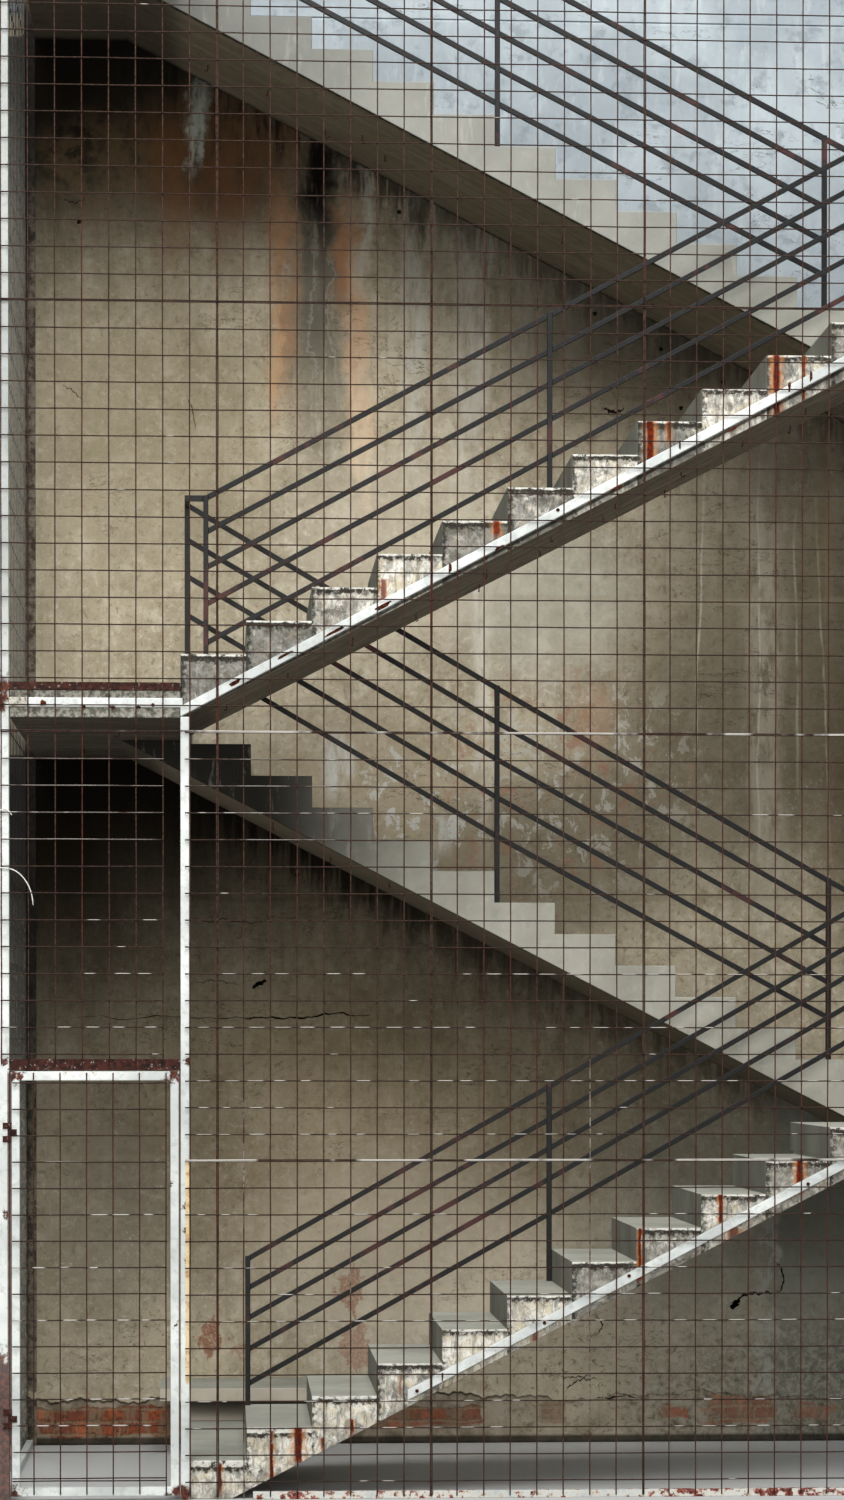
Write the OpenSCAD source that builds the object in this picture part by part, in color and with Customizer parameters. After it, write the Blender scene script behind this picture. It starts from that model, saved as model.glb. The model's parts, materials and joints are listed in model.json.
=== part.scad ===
// Concrete fire escape stair: four flights turning between end landings,
// closed in by a welded mesh screen on steel posts, with a gate at the foot.
// Millimetres. X runs along the flights, Y back to the wall, Z up.
// The rows of the stair are counted in risers from the ground.

/* [Stair layout] */
// Height of one riser
riser = 155; // [150:0.5:175]
// Going of one tread
going = 300; // [250:1:320]
// Risers in a flight on the screen side
front_risers = 11; // [8:1:13]
// Risers in a flight on the wall side
back_risers = 13; // [9:1:15]
// Width of one flight
flight_width = 1100; // [900:10:1300]
// Open well between the two rows of flights
well = 100; // [60:5:200]
// Thickness of the sloping slabs, square to their undersides: wall side, screen side, lowest
waist = 140; // [110:1:180]
front_waist = 127; // [110:1:180]
low_waist = 108; // [100:1:180]
// Thickness of the landing slabs
landing_slab = 140; // [120:5:200]
// Length of the left landings
landing_length = 780; // [750:10:1200]
// Set-back of the wall-side flights' top riser from the screen-side first riser
back_shift = 30; // [0:5:60]

/* [Back wall] */
// Thickness of the wall that carries the landings
wall_thickness = 200; // [150:10:300]
// How far the wall runs on past the stair's ends
wall_overrun = 140; // [0:10:400]
// Height of the wall above the top landing
parapet = 1060; // [900:10:1200]
// Width of the way through the wall at the top landing
way_width = 760; // [700:10:900]

/* [Foot] */
// Depth of the shelf slab on the wall at the foot
shelf_depth = 600; // [300:10:800]
// Thickness of the shelf slab
shelf_thick = 66; // [50:2:120]
// Top of the shelf slab above the ground
shelf_top = 350; // [300:5:450]
// Left and right ends of the shelf slab
shelf_left = -130; // [-300:10:0]
shelf_right = 632; // [400:2:900]
// How far the block under the shelf stands back from the shelf's front
shelf_lip = 60; // [20:5:120]
// How much the lowest three treads stand above the even rise
lift_1 = 22; // [0:1:30]
lift_2 = 18; // [0:1:30]
lift_3 = 6; // [0:1:30]

/* [Screen steel] */
// Side of the corner posts
post_size = 50; // [40:5:80]
// Wall of the square tubes
tube_wall = 3; // [2:0.5:5]
// How far the bars stand out from the concrete
bar_depth = 35; // [20:1:50]
// Height of the flat bars fixed along flights and landings
bar_height = 42; // [30:1:60]
// Width of the gate post
gate_post_width = 40; // [30:1:60]
// Side and thickness of the steel angles
angle_side = 50; // [30:5:70]
angle_thick = 5; // [3:0.5:8]
// Height of the base channel
base_height = 35; // [25:1:60]
// Start of the bar along the lowest flight
low_bar_start = 1040; // [800:10:1300]
// Height of that bar's top edge above the flight's underside at its start
low_bar_rise = 83; // [65:1:100]
// How much steeper than the flight that bar runs
low_bar_gain = 0.008; // [0:0.001:0.02]
// Depth of the upper bar's top edge below the middle landing's top, at the first riser
high_bar_drop = 88; // [70:1:110]
// How much steeper than the flight that bar runs
high_bar_gain = 0.017; // [0:0.001:0.02]
// Depth of the level bars' undersides below a landing's top
bar_drop = 93; // [85:1:110]

/* [Mesh] */
// Centre distance of the wires
pitch = 122.5; // [118:0.5:128]
// Thickness of the wires
wire = 6; // [4:0.5:10]
// Level cells in a third of a side screen's height
side_rows = 15; // [12:1:20]
// Cells across and up one sheet
sheet_cols = 8; // [6:1:8]
sheet_rows = 16; // [14:1:18]
// Height of the lowest horizontal wire
mesh_foot = 82; // [40:1:160]
// Cells below the first sheet joint
first_rows = 12; // [10:1:14]
// Cells in the topmost row of sheets
top_rows = 8; // [4:1:10]

/* [Railings] */
// Side of the railing posts and height of the rails
rail_post = 25; // [20:1:50]
rail_bar = 25; // [15:1:45]
// Thickness of the rails, well side to stair side
rail_thick = 20; // [10:1:40]
// Distance of the railing from the flight's edge at the well
rail_inset = 60; // [30:5:120]
// Distance of the low and high landings' newels from the flight's last riser
newel_low = 380; // [300:10:600]
newel_high = 350; // [300:10:600]

/* [Gate] */
// Gap between the gate and its posts
gate_gap = 5; // [5:0.5:10]
// Width of the gate's frame tubes
gate_tube = 42; // [30:1:60]
// Underside of the gate and top of the gate above the ground
gate_foot = 20; // [10:1:60]
gate_top = 1964; // [1800:2:2100]
// Height of the gate mesh's top wire, and centre distance of its wires
gate_wire_top = 1911; // [1700:1:2040]
gate_pitch = 120.5; // [110:0.5:125]
// Radius of a hinge's barrel and of its pin, and the barrel's length
hinge_radius = 8; // [6:0.5:14]
pin_radius = 4; // [3:0.5:6]
hinge_length = 90; // [60:5:140]
// Heights of the two hinges
hinge_low = 330; // [200:10:500]
hinge_high = 1640; // [1400:10:1800]

/* [Hidden] */
slope = riser / going;
pitch_length = sqrt(1 + slope * slope);
low_drop = low_waist * pitch_length;
lifts = [0, lift_1, lift_2, lift_3];
plinth_top = riser + lift_1;
depth = 2 * flight_width + well;
back_y = flight_width + well;
land_low = front_risers * riser;
land_mid = (front_risers + back_risers) * riser;
land_high = land_mid + land_low;
land_top = 2 * land_mid;
turn_front = (front_risers - 1) * going;
turn_back = back_shift + (back_risers - 1) * going;
right_end = turn_back + landing_length;
left_end = -landing_length;
wall_top = land_top + parapet;
out_left = left_end - post_size;
out_right = right_end + post_size;
bar_face = -bar_depth;
total_rows = first_rows + 3 * sheet_rows + top_rows;
mesh_top = mesh_foot + total_rows * pitch;
joint_1 = mesh_foot + first_rows * pitch;
joint_2 = joint_1 + sheet_rows * pitch;
joint_3 = joint_2 + sheet_rows * pitch;
joint_4 = joint_3 + sheet_rows * pitch;
sheet = sheet_cols * pitch;
first_wire = gate_post_width + wire / 2;
col_2 = first_wire + pitch + sheet;
col_3 = col_2 + 2 * sheet;
left_cols = floor((col_2 - out_left - wire) / pitch);
over_cols = floor((first_wire - out_left - wire) / pitch);
last_cols = floor((out_right - 4 - col_3) / pitch);
side_cols = floor((depth - 45) / pitch);
side_start = bar_face + 45;
side_pitch = total_rows * pitch / (3 * side_rows);
post_top = mesh_top + 30;
lintel_top = gate_top + 6 + angle_side;
hinge_x = left_end + gate_gap / 2;
hinge_y = bar_face - hinge_radius - 1;
front_most = hinge_y - hinge_radius;
// Middle of the whole part's footprint, so that it stands about the origin
mid_x = (out_left + out_right) / 2;
mid_y = (front_most + depth + wall_thickness) / 2;
low_bar_slope = slope + low_bar_gain;
low_bar_z = slope * low_bar_start - low_drop + low_bar_rise;
high_bar_slope = slope + high_bar_gain;
high_bar_z = land_mid - high_bar_drop;
y_front = flight_width - rail_inset;
y_back = back_y + rail_inset;
gate_left = left_end + gate_gap;
gate_right = -gate_gap;
// Posts of each railing: place along X, foot, and the five rails' heights above the foot
posts_1 = [[going + 12, 2 * riser + lift_2, [715, 572, 425, 272, 104]],
    [6 * going - 13, 6 * riser, [953, 793, 650, 501, 329]],
    [turn_front + newel_low, land_low, [1107, 935, 791, 642, 470]]];
posts_2 = [[back_shift - 13, land_mid, [1022, 852, 672, 482, 292]],
    [turn_back - 7 * going + 16, land_low + 7 * riser, [1061, 893, 710, 522, 330]],
    [turn_back - 1.43 * going, land_low + 2 * riser, [889, 740, 567, 383, 208]]];
posts_3 = [[110, land_mid + riser, [868, 704, 531, 353, 165]],
    [6 * going - 13, land_mid + 6 * riser, [1000, 826, 666, 492, 312]],
    [turn_front + newel_high, land_high, [1075, 905, 743, 571, 391]]];
posts_4 = [[back_shift - 13, land_top, [800, 622, 444, 266, 88]],
    [turn_back - 7 * going + 16, land_high + 7 * riser, [920, 746, 572, 398, 224]],
    [turn_back - 1.52 * going, land_high + 2 * riser, [851, 682, 513, 343, 174]]];

// Moves a piece so that the footprint's middle is the origin
module placed() { translate([-mid_x, -mid_y, 0]) children(); }

// A prism drawn in the X-Z plane, from y0 to y1
module across(y0, y1) {
    translate([0, y1, 0]) rotate([90, 0, 0]) linear_extrude(height = y1 - y0) children();
}

// A block given by its two corners
module block(a, b) { translate(a) cube([b[0] - a[0], b[1] - a[1], b[2] - a[2]]); }

// Outline of a flight that climbs along +X from its first riser at x = 0, z = 0.
// n risers, the last being the landing's own edge. The underside runs parallel to
// the treads, drop below their inner corners, until it meets the landing's underside;
// foot is how far the slab that it starts from reaches down, and up lists how much
// treads stand above the even rise, counted from the foot.
function flight_shape(n, foot, drop, up) = let (
    top_x = (n - 1) * going,
    under_z = n * riser - landing_slab,
    meet = (under_z + drop) / slope,
    foot_x = (drop - foot) / slope,
    tread = [for (k = [0 : n - 1]) k * riser + (k < len(up) ? up[k] : 0)])
    concat(
        [for (k = [0 : n - 2])
            each [[k * going, k == 0 ? -foot : tread[k]], [k * going, tread[k + 1]]]],
        [[top_x, (n - 1) * riser], [top_x, under_z], [meet, under_z]],
        foot_x > 0 ? [[foot_x, -foot]] : [[0.01, -drop]]);

// A flight on the screen side, climbing to the right from height z
module front_flight(z, foot, drop, up) {
    translate([0, 0, z]) across(0, flight_width) polygon(flight_shape(front_risers, foot, drop, up));
}

// A flight on the wall side, climbing to the left from height z
module back_flight(z) {
    translate([turn_back, 0, z]) mirror([1, 0, 0]) across(back_y, depth)
        polygon(flight_shape(back_risers, landing_slab, waist * pitch_length, []));
}

// A landing slab at the left end, its top at height z
module left_landing(z) {
    translate([0, 0, z - landing_slab]) linear_extrude(height = landing_slab)
        polygon([[left_end, 0], [0, 0], [0, back_y], [back_shift, back_y], [back_shift, depth],
            [left_end, depth]]);
}

// A landing slab at the right end, its top at height z
module right_landing(z) {
    translate([0, 0, z - landing_slab]) linear_extrude(height = landing_slab)
        polygon([[turn_front, 0], [right_end, 0], [right_end, depth], [turn_back, depth],
            [turn_back, back_y], [turn_front, back_y]]);
}

// A square tube standing up, closed at the top
module tube_post(a, b) {
    t = tube_wall;
    difference() {
        block(a, b);
        block([a[0] + t, a[1] + t, a[2] - 1], [b[0] - t, b[1] - t, b[2] - t]);
    }
}

// A bar of the given height that slopes from (x0, z0) to (x1, z1), its middle line, upright ends
module sloping(x0, z0, x1, z1, h, y0, y1) {
    across(y0, y1) polygon([[x0, z0 - h / 2], [x1, z1 - h / 2], [x1, z1 + h / 2], [x0, z0 + h / 2]]);
}

// Height of one rail at a post
function rail_at(post, k) = post[1] + post[2][k];

// One railing in its own plane: its posts, and five rails between them
module railing(y, posts) {
    h = rail_bar * sqrt(1 + slope * slope);
    for (p = posts)
        block([p[0] - rail_post / 2, y - rail_post / 2, p[1]],
            [p[0] + rail_post / 2, y + rail_post / 2, rail_at(p, 0) + h / 2]);
    for (i = [0 : len(posts) - 2]) for (k = [0 : 4])
        sloping(posts[i][0], rail_at(posts[i], k), posts[i + 1][0], rail_at(posts[i + 1], k), h,
            y - rail_thick / 2, y + rail_thick / 2);
}

// Where uprights start: the lowest sheets' run on down over the base channel
function foot_of(z) = z < joint_1 ? base_height / 3 : z - wire / 2;

// Upright wires at xs on the plane y = bar_face, and level wires at zs in front of them,
// running from x = from to the last upright
module mesh(xs, zs, from) {
    z_min = foot_of(min(zs));
    z_max = max(zs) + wire / 2;
    for (x = xs) block([x - wire / 2, bar_face - wire, z_min], [x + wire / 2, bar_face, z_max]);
    for (z = zs) block([from, bar_face - 2 * wire, z - wire / 2],
        [max(xs) + wire / 2, bar_face - wire, z + wire / 2]);
}

// Wires at even pitch from a, n cells; a later sheet starts one wire further on
function wires(a, n, later) = [for (i = [0 : n]) a + i * pitch + (later && i == 0 ? wire : 0)];

// Wires of two later sheets side by side, with the doubled wire at their joint
function two_sheets(a) = concat(wires(a, 2 * sheet_cols, true), [a + sheet + wire]);

// A third of a side screen's height; side is -1 at the left and 1 at the right
module side_mesh(part, side) {
    z0 = mesh_foot + part * side_rows * side_pitch;
    zs = [for (i = [0 : side_rows]) z0 + i * side_pitch + (part > 0 && i == 0 ? wire : 0)];
    ys = concat(wires(side_start, side_cols, false), [depth - 20]);
    a = side < 0 ? out_left : out_right;
    z_min = foot_of(min(zs));
    z_max = max(zs) + wire / 2;
    for (y = ys) block([a + min(0, side * wire), y - wire / 2, z_min],
        [a + max(0, side * wire), y + wire / 2, z_max]);
    for (z = zs) {
        b = a + side * wire;
        block([b + min(0, side * wire), side_start - 20, z - wire / 2],
            [b + max(0, side * wire), depth, z + wire / 2]);
    }
}

module back_wall() color([0.48, 0.44, 0.37]) placed()
    block([out_left - wall_overrun, depth, 0], [out_right + wall_overrun, depth + wall_thickness, land_top]);

// The wall above the top landing, on each side of the way through it
module parapet() color([0.56, 0.58, 0.58]) placed() {
    block([out_left - wall_overrun, depth, land_top], [left_end + 20, depth + wall_thickness, wall_top]);
    block([left_end + 20 + way_width, depth, land_top],
        [out_right + wall_overrun, depth + wall_thickness, wall_top]);
}

// Slab on the wall behind the first steps, on a block that stands on the plinth and the ground
module wall_shelf() color([0.55, 0.53, 0.48]) placed() {
    under = shelf_top - shelf_thick;
    block([shelf_left, depth - shelf_depth, under], [shelf_right, depth, shelf_top]);
    across(depth - shelf_depth + shelf_lip, depth)
        polygon([[0, plinth_top], [going, plinth_top], [going, 0], [shelf_right, 0],
            [shelf_right, under], [0, under]]);
}

// The lowest flight stands on the ground; its first step runs back to the wall as a plinth
module flight_1() color([0.72, 0.72, 0.68]) placed() {
    front_flight(0, 0, low_drop, lifts);
    block([0, flight_width, 0], [going, depth, plinth_top]);
}

module flight_2() color([0.66, 0.68, 0.62]) placed() back_flight(land_low);
module flight_3() color([0.72, 0.72, 0.68]) placed()
    front_flight(land_mid, landing_slab, front_waist * pitch_length, []);
module flight_4() color([0.66, 0.68, 0.62]) placed() back_flight(land_high);
module landing_low() color([0.66, 0.66, 0.62]) placed() right_landing(land_low);
module landing_mid() color([0.66, 0.66, 0.62]) placed() left_landing(land_mid);
module landing_high() color([0.66, 0.66, 0.62]) placed() right_landing(land_high);
module landing_top() color([0.66, 0.66, 0.62]) placed() left_landing(land_top);

module corner_post_left() color([0.82, 0.83, 0.8]) placed()
    tube_post([out_left, bar_face, 0], [left_end, bar_face + post_size, post_top]);

module corner_post_right() color([0.82, 0.83, 0.8]) placed()
    tube_post([right_end, bar_face, 0], [out_right, bar_face + post_size, post_top]);

// Steel angles fixed upright to the wall, where the side screens end
module wall_post_left() color([0.82, 0.83, 0.8]) placed() {
    block([out_left, depth - angle_side, 0], [out_left + angle_thick, depth, post_top]);
    block([out_left, depth - angle_thick, 0], [left_end, depth, post_top]);
}

module wall_post_right() color([0.82, 0.83, 0.8]) placed() {
    block([out_right - angle_thick, depth - angle_side, 0], [out_right, depth, post_top]);
    block([right_end, depth - angle_thick, 0], [out_right, depth, post_top]);
}

module gate_post() color([0.85, 0.84, 0.78]) placed()
    tube_post([0, bar_face, 0], [gate_post_width, 0, high_bar_z - 48]);

// Angle across the top of the gateway: upright leg in front, level leg on top
module gate_lintel() color([0.3, 0.16, 0.14]) placed() {
    block([left_end, bar_face, lintel_top - angle_side], [0, bar_face + angle_thick, lintel_top]);
    block([left_end, bar_face, lintel_top - angle_thick], [0, bar_face + angle_side, lintel_top]);
}

module base_channel() color([0.7, 0.64, 0.6]) placed()
    block([330, bar_face, 0], [right_end, 0, base_height]);

module side_base_left() color([0.7, 0.64, 0.6]) placed()
    block([out_left, bar_face + post_size, 0], [out_left + bar_depth, depth - angle_side, base_height]);

module side_base_right() color([0.7, 0.64, 0.6]) placed()
    block([out_right - bar_depth, bar_face + post_size, 0], [out_right, depth - angle_side, base_height]);

module top_rail() color([0.82, 0.83, 0.8]) placed()
    block([left_end, bar_face, post_top - bar_height], [right_end, 0, post_top]);

module side_top_left() color([0.82, 0.83, 0.8]) placed()
    block([out_left, bar_face + post_size, post_top - bar_height],
        [out_left + bar_depth, depth - angle_side, post_top]);

module side_top_right() color([0.82, 0.83, 0.8]) placed()
    block([out_right - bar_depth, bar_face + post_size, post_top - bar_height],
        [out_right, depth - angle_side, post_top]);

// Bar on the lowest flight, running on level along the low landing
module bar_low() color([0.85, 0.85, 0.82]) placed() {
    h = bar_height * sqrt(1 + low_bar_slope * low_bar_slope);
    z1 = land_low - bar_drop;
    x1 = low_bar_start + (z1 + h / 2 - low_bar_z) / low_bar_slope;
    sloping(low_bar_start, low_bar_z - h / 2, x1, z1, h, bar_face, 0);
    block([x1 - 30, bar_face, z1], [right_end, 0, z1 + bar_height]);
}

// Bar on the middle landing, the flight above it and the high landing
module bar_high() color([0.85, 0.85, 0.82]) placed() {
    h = bar_height * sqrt(1 + high_bar_slope * high_bar_slope);
    z0 = land_mid - bar_drop;
    z1 = land_high - bar_drop;
    x1 = (z1 + h / 2 - high_bar_z) / high_bar_slope;
    block([left_end, bar_face, z0], [10, 0, z0 + bar_height]);
    sloping(0, high_bar_z - h / 2, x1, z1, h, bar_face, 0);
    block([x1 - 30, bar_face, z1], [right_end, 0, z1 + bar_height]);
}

module bar_top() color([0.85, 0.85, 0.82]) placed()
    block([left_end, bar_face, land_top - bar_drop], [0, 0, land_top - bar_drop + bar_height]);

// Angle along the front edge of a left landing: one leg down the face, one on the slab
module edge_angle(z) {
    block([left_end, bar_face, z - 15], [0, 0, z + angle_thick]);
    block([left_end, bar_face, z], [0, angle_side, z + angle_thick]);
    block([left_end, bar_face, z], [0, bar_face + angle_thick, z + 20]);
}
module angle_mid() color([0.32, 0.18, 0.14]) placed() edge_angle(land_mid);
module angle_top() color([0.32, 0.18, 0.14]) placed() edge_angle(land_top);

module railing_1() color([0.17, 0.18, 0.2]) placed() railing(y_front, posts_1);
module railing_2() color([0.17, 0.18, 0.2]) placed() railing(y_back, posts_2);
module railing_3() color([0.17, 0.18, 0.2]) placed() railing(y_front, posts_3);
module railing_4() color([0.17, 0.18, 0.2]) placed() railing(y_back, posts_4);

// Handrail carried on from the back flight's last post to the front flight's newel,
// and across the well: from x0, z0 to x1, z1
module return_rail(x0, z0, x1, z1) {
    h = rail_bar * sqrt(1 + slope * slope);
    half = rail_thick / 2;
    sloping(x0, z0, x1, z1, h, y_back - half, y_back + half);
    block([x1 - half, y_front + rail_post / 2, z1 - h / 2], [x1 + half, y_back + half, z1 + h / 2]);
}

// The handrails' turns at the well: at the two right-hand landings and at the middle one
module rail_returns() color([0.17, 0.18, 0.2]) placed() {
    h = rail_bar * sqrt(1 + slope * slope);
    half = rail_thick / 2;
    return_rail(posts_2[2][0] + rail_post / 2, rail_at(posts_2[2], 0) - slope * rail_post / 2,
        posts_1[2][0], rail_at(posts_1[2], 0) - 4);
    return_rail(posts_4[2][0] + rail_post / 2, rail_at(posts_4[2], 0) - slope * rail_post / 2,
        posts_3[2][0], rail_at(posts_3[2], 0) - 4);
    z = rail_at(posts_2[0], 0);
    block([posts_2[0][0] - half, y_front - half, z - h / 2],
        [posts_2[0][0] + half, y_back - rail_post / 2, z + h / 2]);
    block([posts_2[0][0], y_front - half, z - h / 2],
        [posts_3[0][0] - rail_post / 2, y_front + half, z + h / 2]);
}

// Level guard across the open front half of the top landing
module landing_guard() color([0.17, 0.18, 0.2]) placed() {
    for (y = [20, y_front]) block([-20, y - rail_post / 2, land_top + (y < angle_side ? angle_thick : 0)],
        [rail_post - 20, y + rail_post / 2, rail_at(posts_4[0], 0) + rail_bar / 2]);
    for (k = [0 : 4]) block([-18, 20 - rail_post / 2, rail_at(posts_4[0], k) - rail_bar / 2],
        [rail_thick - 18, y_back - rail_post / 2, rail_at(posts_4[0], k) + rail_bar / 2]);
}

module front_mesh(xs, zs, from) color([0.29, 0.17, 0.17]) placed() mesh(xs, zs, from);

// Uprights of the left sheets: all of them, and those over the gateway only
left_wires = concat([for (i = [0 : left_cols]) col_2 - (left_cols - i) * pitch],
    [first_wire + pitch + wire]);
over_wires = [for (i = [0 : over_cols - 1]) first_wire - (over_cols - i) * pitch];
left_from = col_2 - left_cols * pitch - wire / 2;

// Beside the gateway: two rows of sheets, their level wires ending on the gate post
module mesh_a1() front_mesh(
    concat(wires(first_wire, sheet_cols + 1, false), [first_wire + pitch + wire]),
    concat(wires(mesh_foot, first_rows + sheet_rows, false), [joint_1 + wire]), gate_post_width / 2);
// Over the gateway: wires from the lintel up, ending at the first upright beside it
module mesh_a2() color([0.29, 0.17, 0.17]) placed() {
    zs = [for (i = [0 : sheet_rows]) if (joint_1 + i * pitch > lintel_top + wire) joint_1 + i * pitch];
    for (x = over_wires) block([x - wire / 2, bar_face - wire, lintel_top - angle_side / 2],
        [x + wire / 2, bar_face, joint_2 + wire / 2]);
    for (z = zs) block([min(over_wires) - wire / 2, bar_face - 2 * wire, z - wire / 2],
        [gate_post_width / 2, bar_face - wire, z + wire / 2]);
}
module mesh_a3() front_mesh(left_wires, wires(joint_2, sheet_rows, true), left_from);
module mesh_a4() front_mesh(left_wires, wires(joint_3, sheet_rows, true), left_from);
module mesh_a5() front_mesh(left_wires, wires(joint_4, top_rows, true), left_from);
module mesh_b1() front_mesh(two_sheets(col_2), wires(mesh_foot, first_rows, false), col_2 + wire / 2);
module mesh_b2() front_mesh(two_sheets(col_2), wires(joint_1, sheet_rows, true), col_2 + wire / 2);
module mesh_b3() front_mesh(two_sheets(col_2), wires(joint_2, sheet_rows, true), col_2 + wire / 2);
module mesh_b4() front_mesh(two_sheets(col_2), wires(joint_3, sheet_rows, true), col_2 + wire / 2);
module mesh_b5() front_mesh(two_sheets(col_2), wires(joint_4, top_rows, true), col_2 + wire / 2);
module mesh_c1() front_mesh(wires(col_3, last_cols, true),
    concat(wires(mesh_foot, first_rows + sheet_rows, false), [joint_1 + wire]), col_3 + wire / 2);
module mesh_c2() front_mesh(wires(col_3, last_cols, true),
    concat(wires(joint_2, 2 * sheet_rows, true), [joint_3 + wire]), col_3 + wire / 2);
module mesh_c3() front_mesh(wires(col_3, last_cols, true), wires(joint_4, top_rows, true), col_3 + wire / 2);

module side_mesh_l1() color([0.29, 0.17, 0.17]) placed() side_mesh(0, -1);
module side_mesh_l2() color([0.29, 0.17, 0.17]) placed() side_mesh(1, -1);
module side_mesh_l3() color([0.29, 0.17, 0.17]) placed() side_mesh(2, -1);
module side_mesh_r1() color([0.29, 0.17, 0.17]) placed() side_mesh(0, 1);
module side_mesh_r2() color([0.29, 0.17, 0.17]) placed() side_mesh(1, 1);
module side_mesh_r3() color([0.29, 0.17, 0.17]) placed() side_mesh(2, 1);

// Welded frame of the gate: two stiles with a rail between them at the top and foot
module gate_frame() color([0.85, 0.86, 0.83]) placed() {
    block([gate_left, bar_face, gate_foot], [gate_left + gate_tube, 0, gate_top]);
    block([gate_right - gate_tube, bar_face, gate_foot], [gate_right, 0, gate_top]);
    block([gate_left, bar_face, gate_foot], [gate_right, 0, gate_foot + gate_tube]);
    block([gate_left, bar_face, gate_top - gate_tube], [gate_right, 0, gate_top]);
}

// Mesh on the gate's face, its level wires ending on the stiles
module gate_mesh() color([0.29, 0.17, 0.17]) placed() {
    rows = floor((gate_wire_top - gate_foot - gate_tube - 20) / gate_pitch);
    cols = floor((landing_length - 130) / gate_pitch);
    foot = gate_wire_top - rows * gate_pitch;
    zs = concat([for (i = [0 : rows]) foot + i * gate_pitch], [foot - 12]);
    for (i = [0 : cols]) let (x = gate_right - 62 - i * gate_pitch)
        block([x - wire / 2, bar_face - wire, gate_foot + 8], [x + wire / 2, bar_face, gate_top - 6]);
    for (z = zs) block([gate_left + 8, bar_face - 2 * wire, z - wire / 2],
        [gate_right - 8, bar_face - wire, z + wire / 2]);
}

// A hinge barrel's knuckle from height z0 to z1 with a leaf flat on the steel behind it;
// side is -1 for the post's leaf and 1 for the gate's
module knuckle(z0, z1, side) {
    translate([hinge_x, hinge_y, z0]) cylinder(r = hinge_radius, h = z1 - z0, $fn = 48);
    block([hinge_x + min(0, side * 32), bar_face - 5, z0], [hinge_x + max(0, side * 32), bar_face, z1]);
}

// The gate's halves of its two hinges: a middle knuckle bored for the pin
module gate_hinges() color([0.35, 0.22, 0.18]) placed() difference() {
    for (z = [hinge_low, hinge_high]) knuckle(z + hinge_length / 3, z + 2 * hinge_length / 3, 1);
    for (z = [hinge_low, hinge_high]) translate([hinge_x, hinge_y, z])
        cylinder(r = pin_radius + 0.5, h = hinge_length, $fn = 48);
}

// The post's halves: a knuckle above and below, joined by the pin
module post_hinges() color([0.35, 0.22, 0.18]) placed() for (z = [hinge_low, hinge_high]) {
    knuckle(z, z + hinge_length / 3 - 1, -1);
    knuckle(z + 2 * hinge_length / 3 + 1, z + hinge_length, -1);
    translate([hinge_x, hinge_y, z]) cylinder(r = pin_radius, h = hinge_length, $fn = 48);
}

back_wall();
parapet();
wall_shelf();
flight_1();
flight_2();
flight_3();
flight_4();
landing_low();
landing_mid();
landing_high();
landing_top();
corner_post_left();
corner_post_right();
wall_post_left();
wall_post_right();
gate_post();
gate_lintel();
base_channel();
side_base_left();
side_base_right();
top_rail();
side_top_left();
side_top_right();
bar_low();
bar_high();
bar_top();
angle_mid();
angle_top();
railing_1();
railing_2();
railing_3();
railing_4();
rail_returns();
landing_guard();
mesh_a1();
mesh_a2();
mesh_a3();
mesh_a4();
mesh_a5();
mesh_b1();
mesh_b2();
mesh_b3();
mesh_b4();
mesh_b5();
mesh_c1();
mesh_c2();
mesh_c3();
side_mesh_l1();
side_mesh_l2();
side_mesh_l3();
side_mesh_r1();
side_mesh_r2();
side_mesh_r3();
gate_frame();
gate_mesh();
gate_hinges();
post_hinges();
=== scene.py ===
import json
import math

import bpy
import numpy as np
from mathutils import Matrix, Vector


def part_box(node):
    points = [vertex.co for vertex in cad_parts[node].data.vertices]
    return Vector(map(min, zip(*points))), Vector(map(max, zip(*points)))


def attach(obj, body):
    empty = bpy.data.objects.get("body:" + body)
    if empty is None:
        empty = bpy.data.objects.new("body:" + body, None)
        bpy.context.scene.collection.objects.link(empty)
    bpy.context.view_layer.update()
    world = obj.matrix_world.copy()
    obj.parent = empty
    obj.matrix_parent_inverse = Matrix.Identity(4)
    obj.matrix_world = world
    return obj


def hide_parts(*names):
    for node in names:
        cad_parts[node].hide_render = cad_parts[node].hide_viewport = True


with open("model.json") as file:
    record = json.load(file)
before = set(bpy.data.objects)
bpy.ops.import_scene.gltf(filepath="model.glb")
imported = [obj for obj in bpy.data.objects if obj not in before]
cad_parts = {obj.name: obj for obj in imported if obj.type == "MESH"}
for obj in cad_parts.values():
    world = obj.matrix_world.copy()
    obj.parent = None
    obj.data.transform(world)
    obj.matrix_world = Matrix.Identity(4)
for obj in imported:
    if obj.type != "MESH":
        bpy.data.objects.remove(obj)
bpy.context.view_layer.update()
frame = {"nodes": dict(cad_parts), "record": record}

print("stage: frame loaded")

# Part sizes in metres, in the part's own layout: X from the first riser, Y from the front concrete face
originX, originY = 1.815, 1.224
riser, going = 0.155, 0.300
depth = 2.3
landLow, landMid, landHigh, landTop = 1.705, 3.72, 5.425, 7.44
turnBack = 3.63
outLeft, outRight = -0.83, 4.46
barFace, wire, pitch = -0.035, 0.006, 0.1225
firstWire = 0.043
colTwo, colThree = 1.1455, 3.1055
meshFoot = 0.082
joints = [1.552, 3.512, 5.472, 7.432, 8.412]


# An sRGB hex colour as linear red, green, blue and alpha.
def linear(code):
    parts = [int(code[i:i + 2], 16) / 255 for i in (1, 3, 5)]
    return [c / 12.92 if c <= 0.04045 else ((c + 0.055) / 1.055) ** 2.4 for c in parts] + [1.0]


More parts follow.
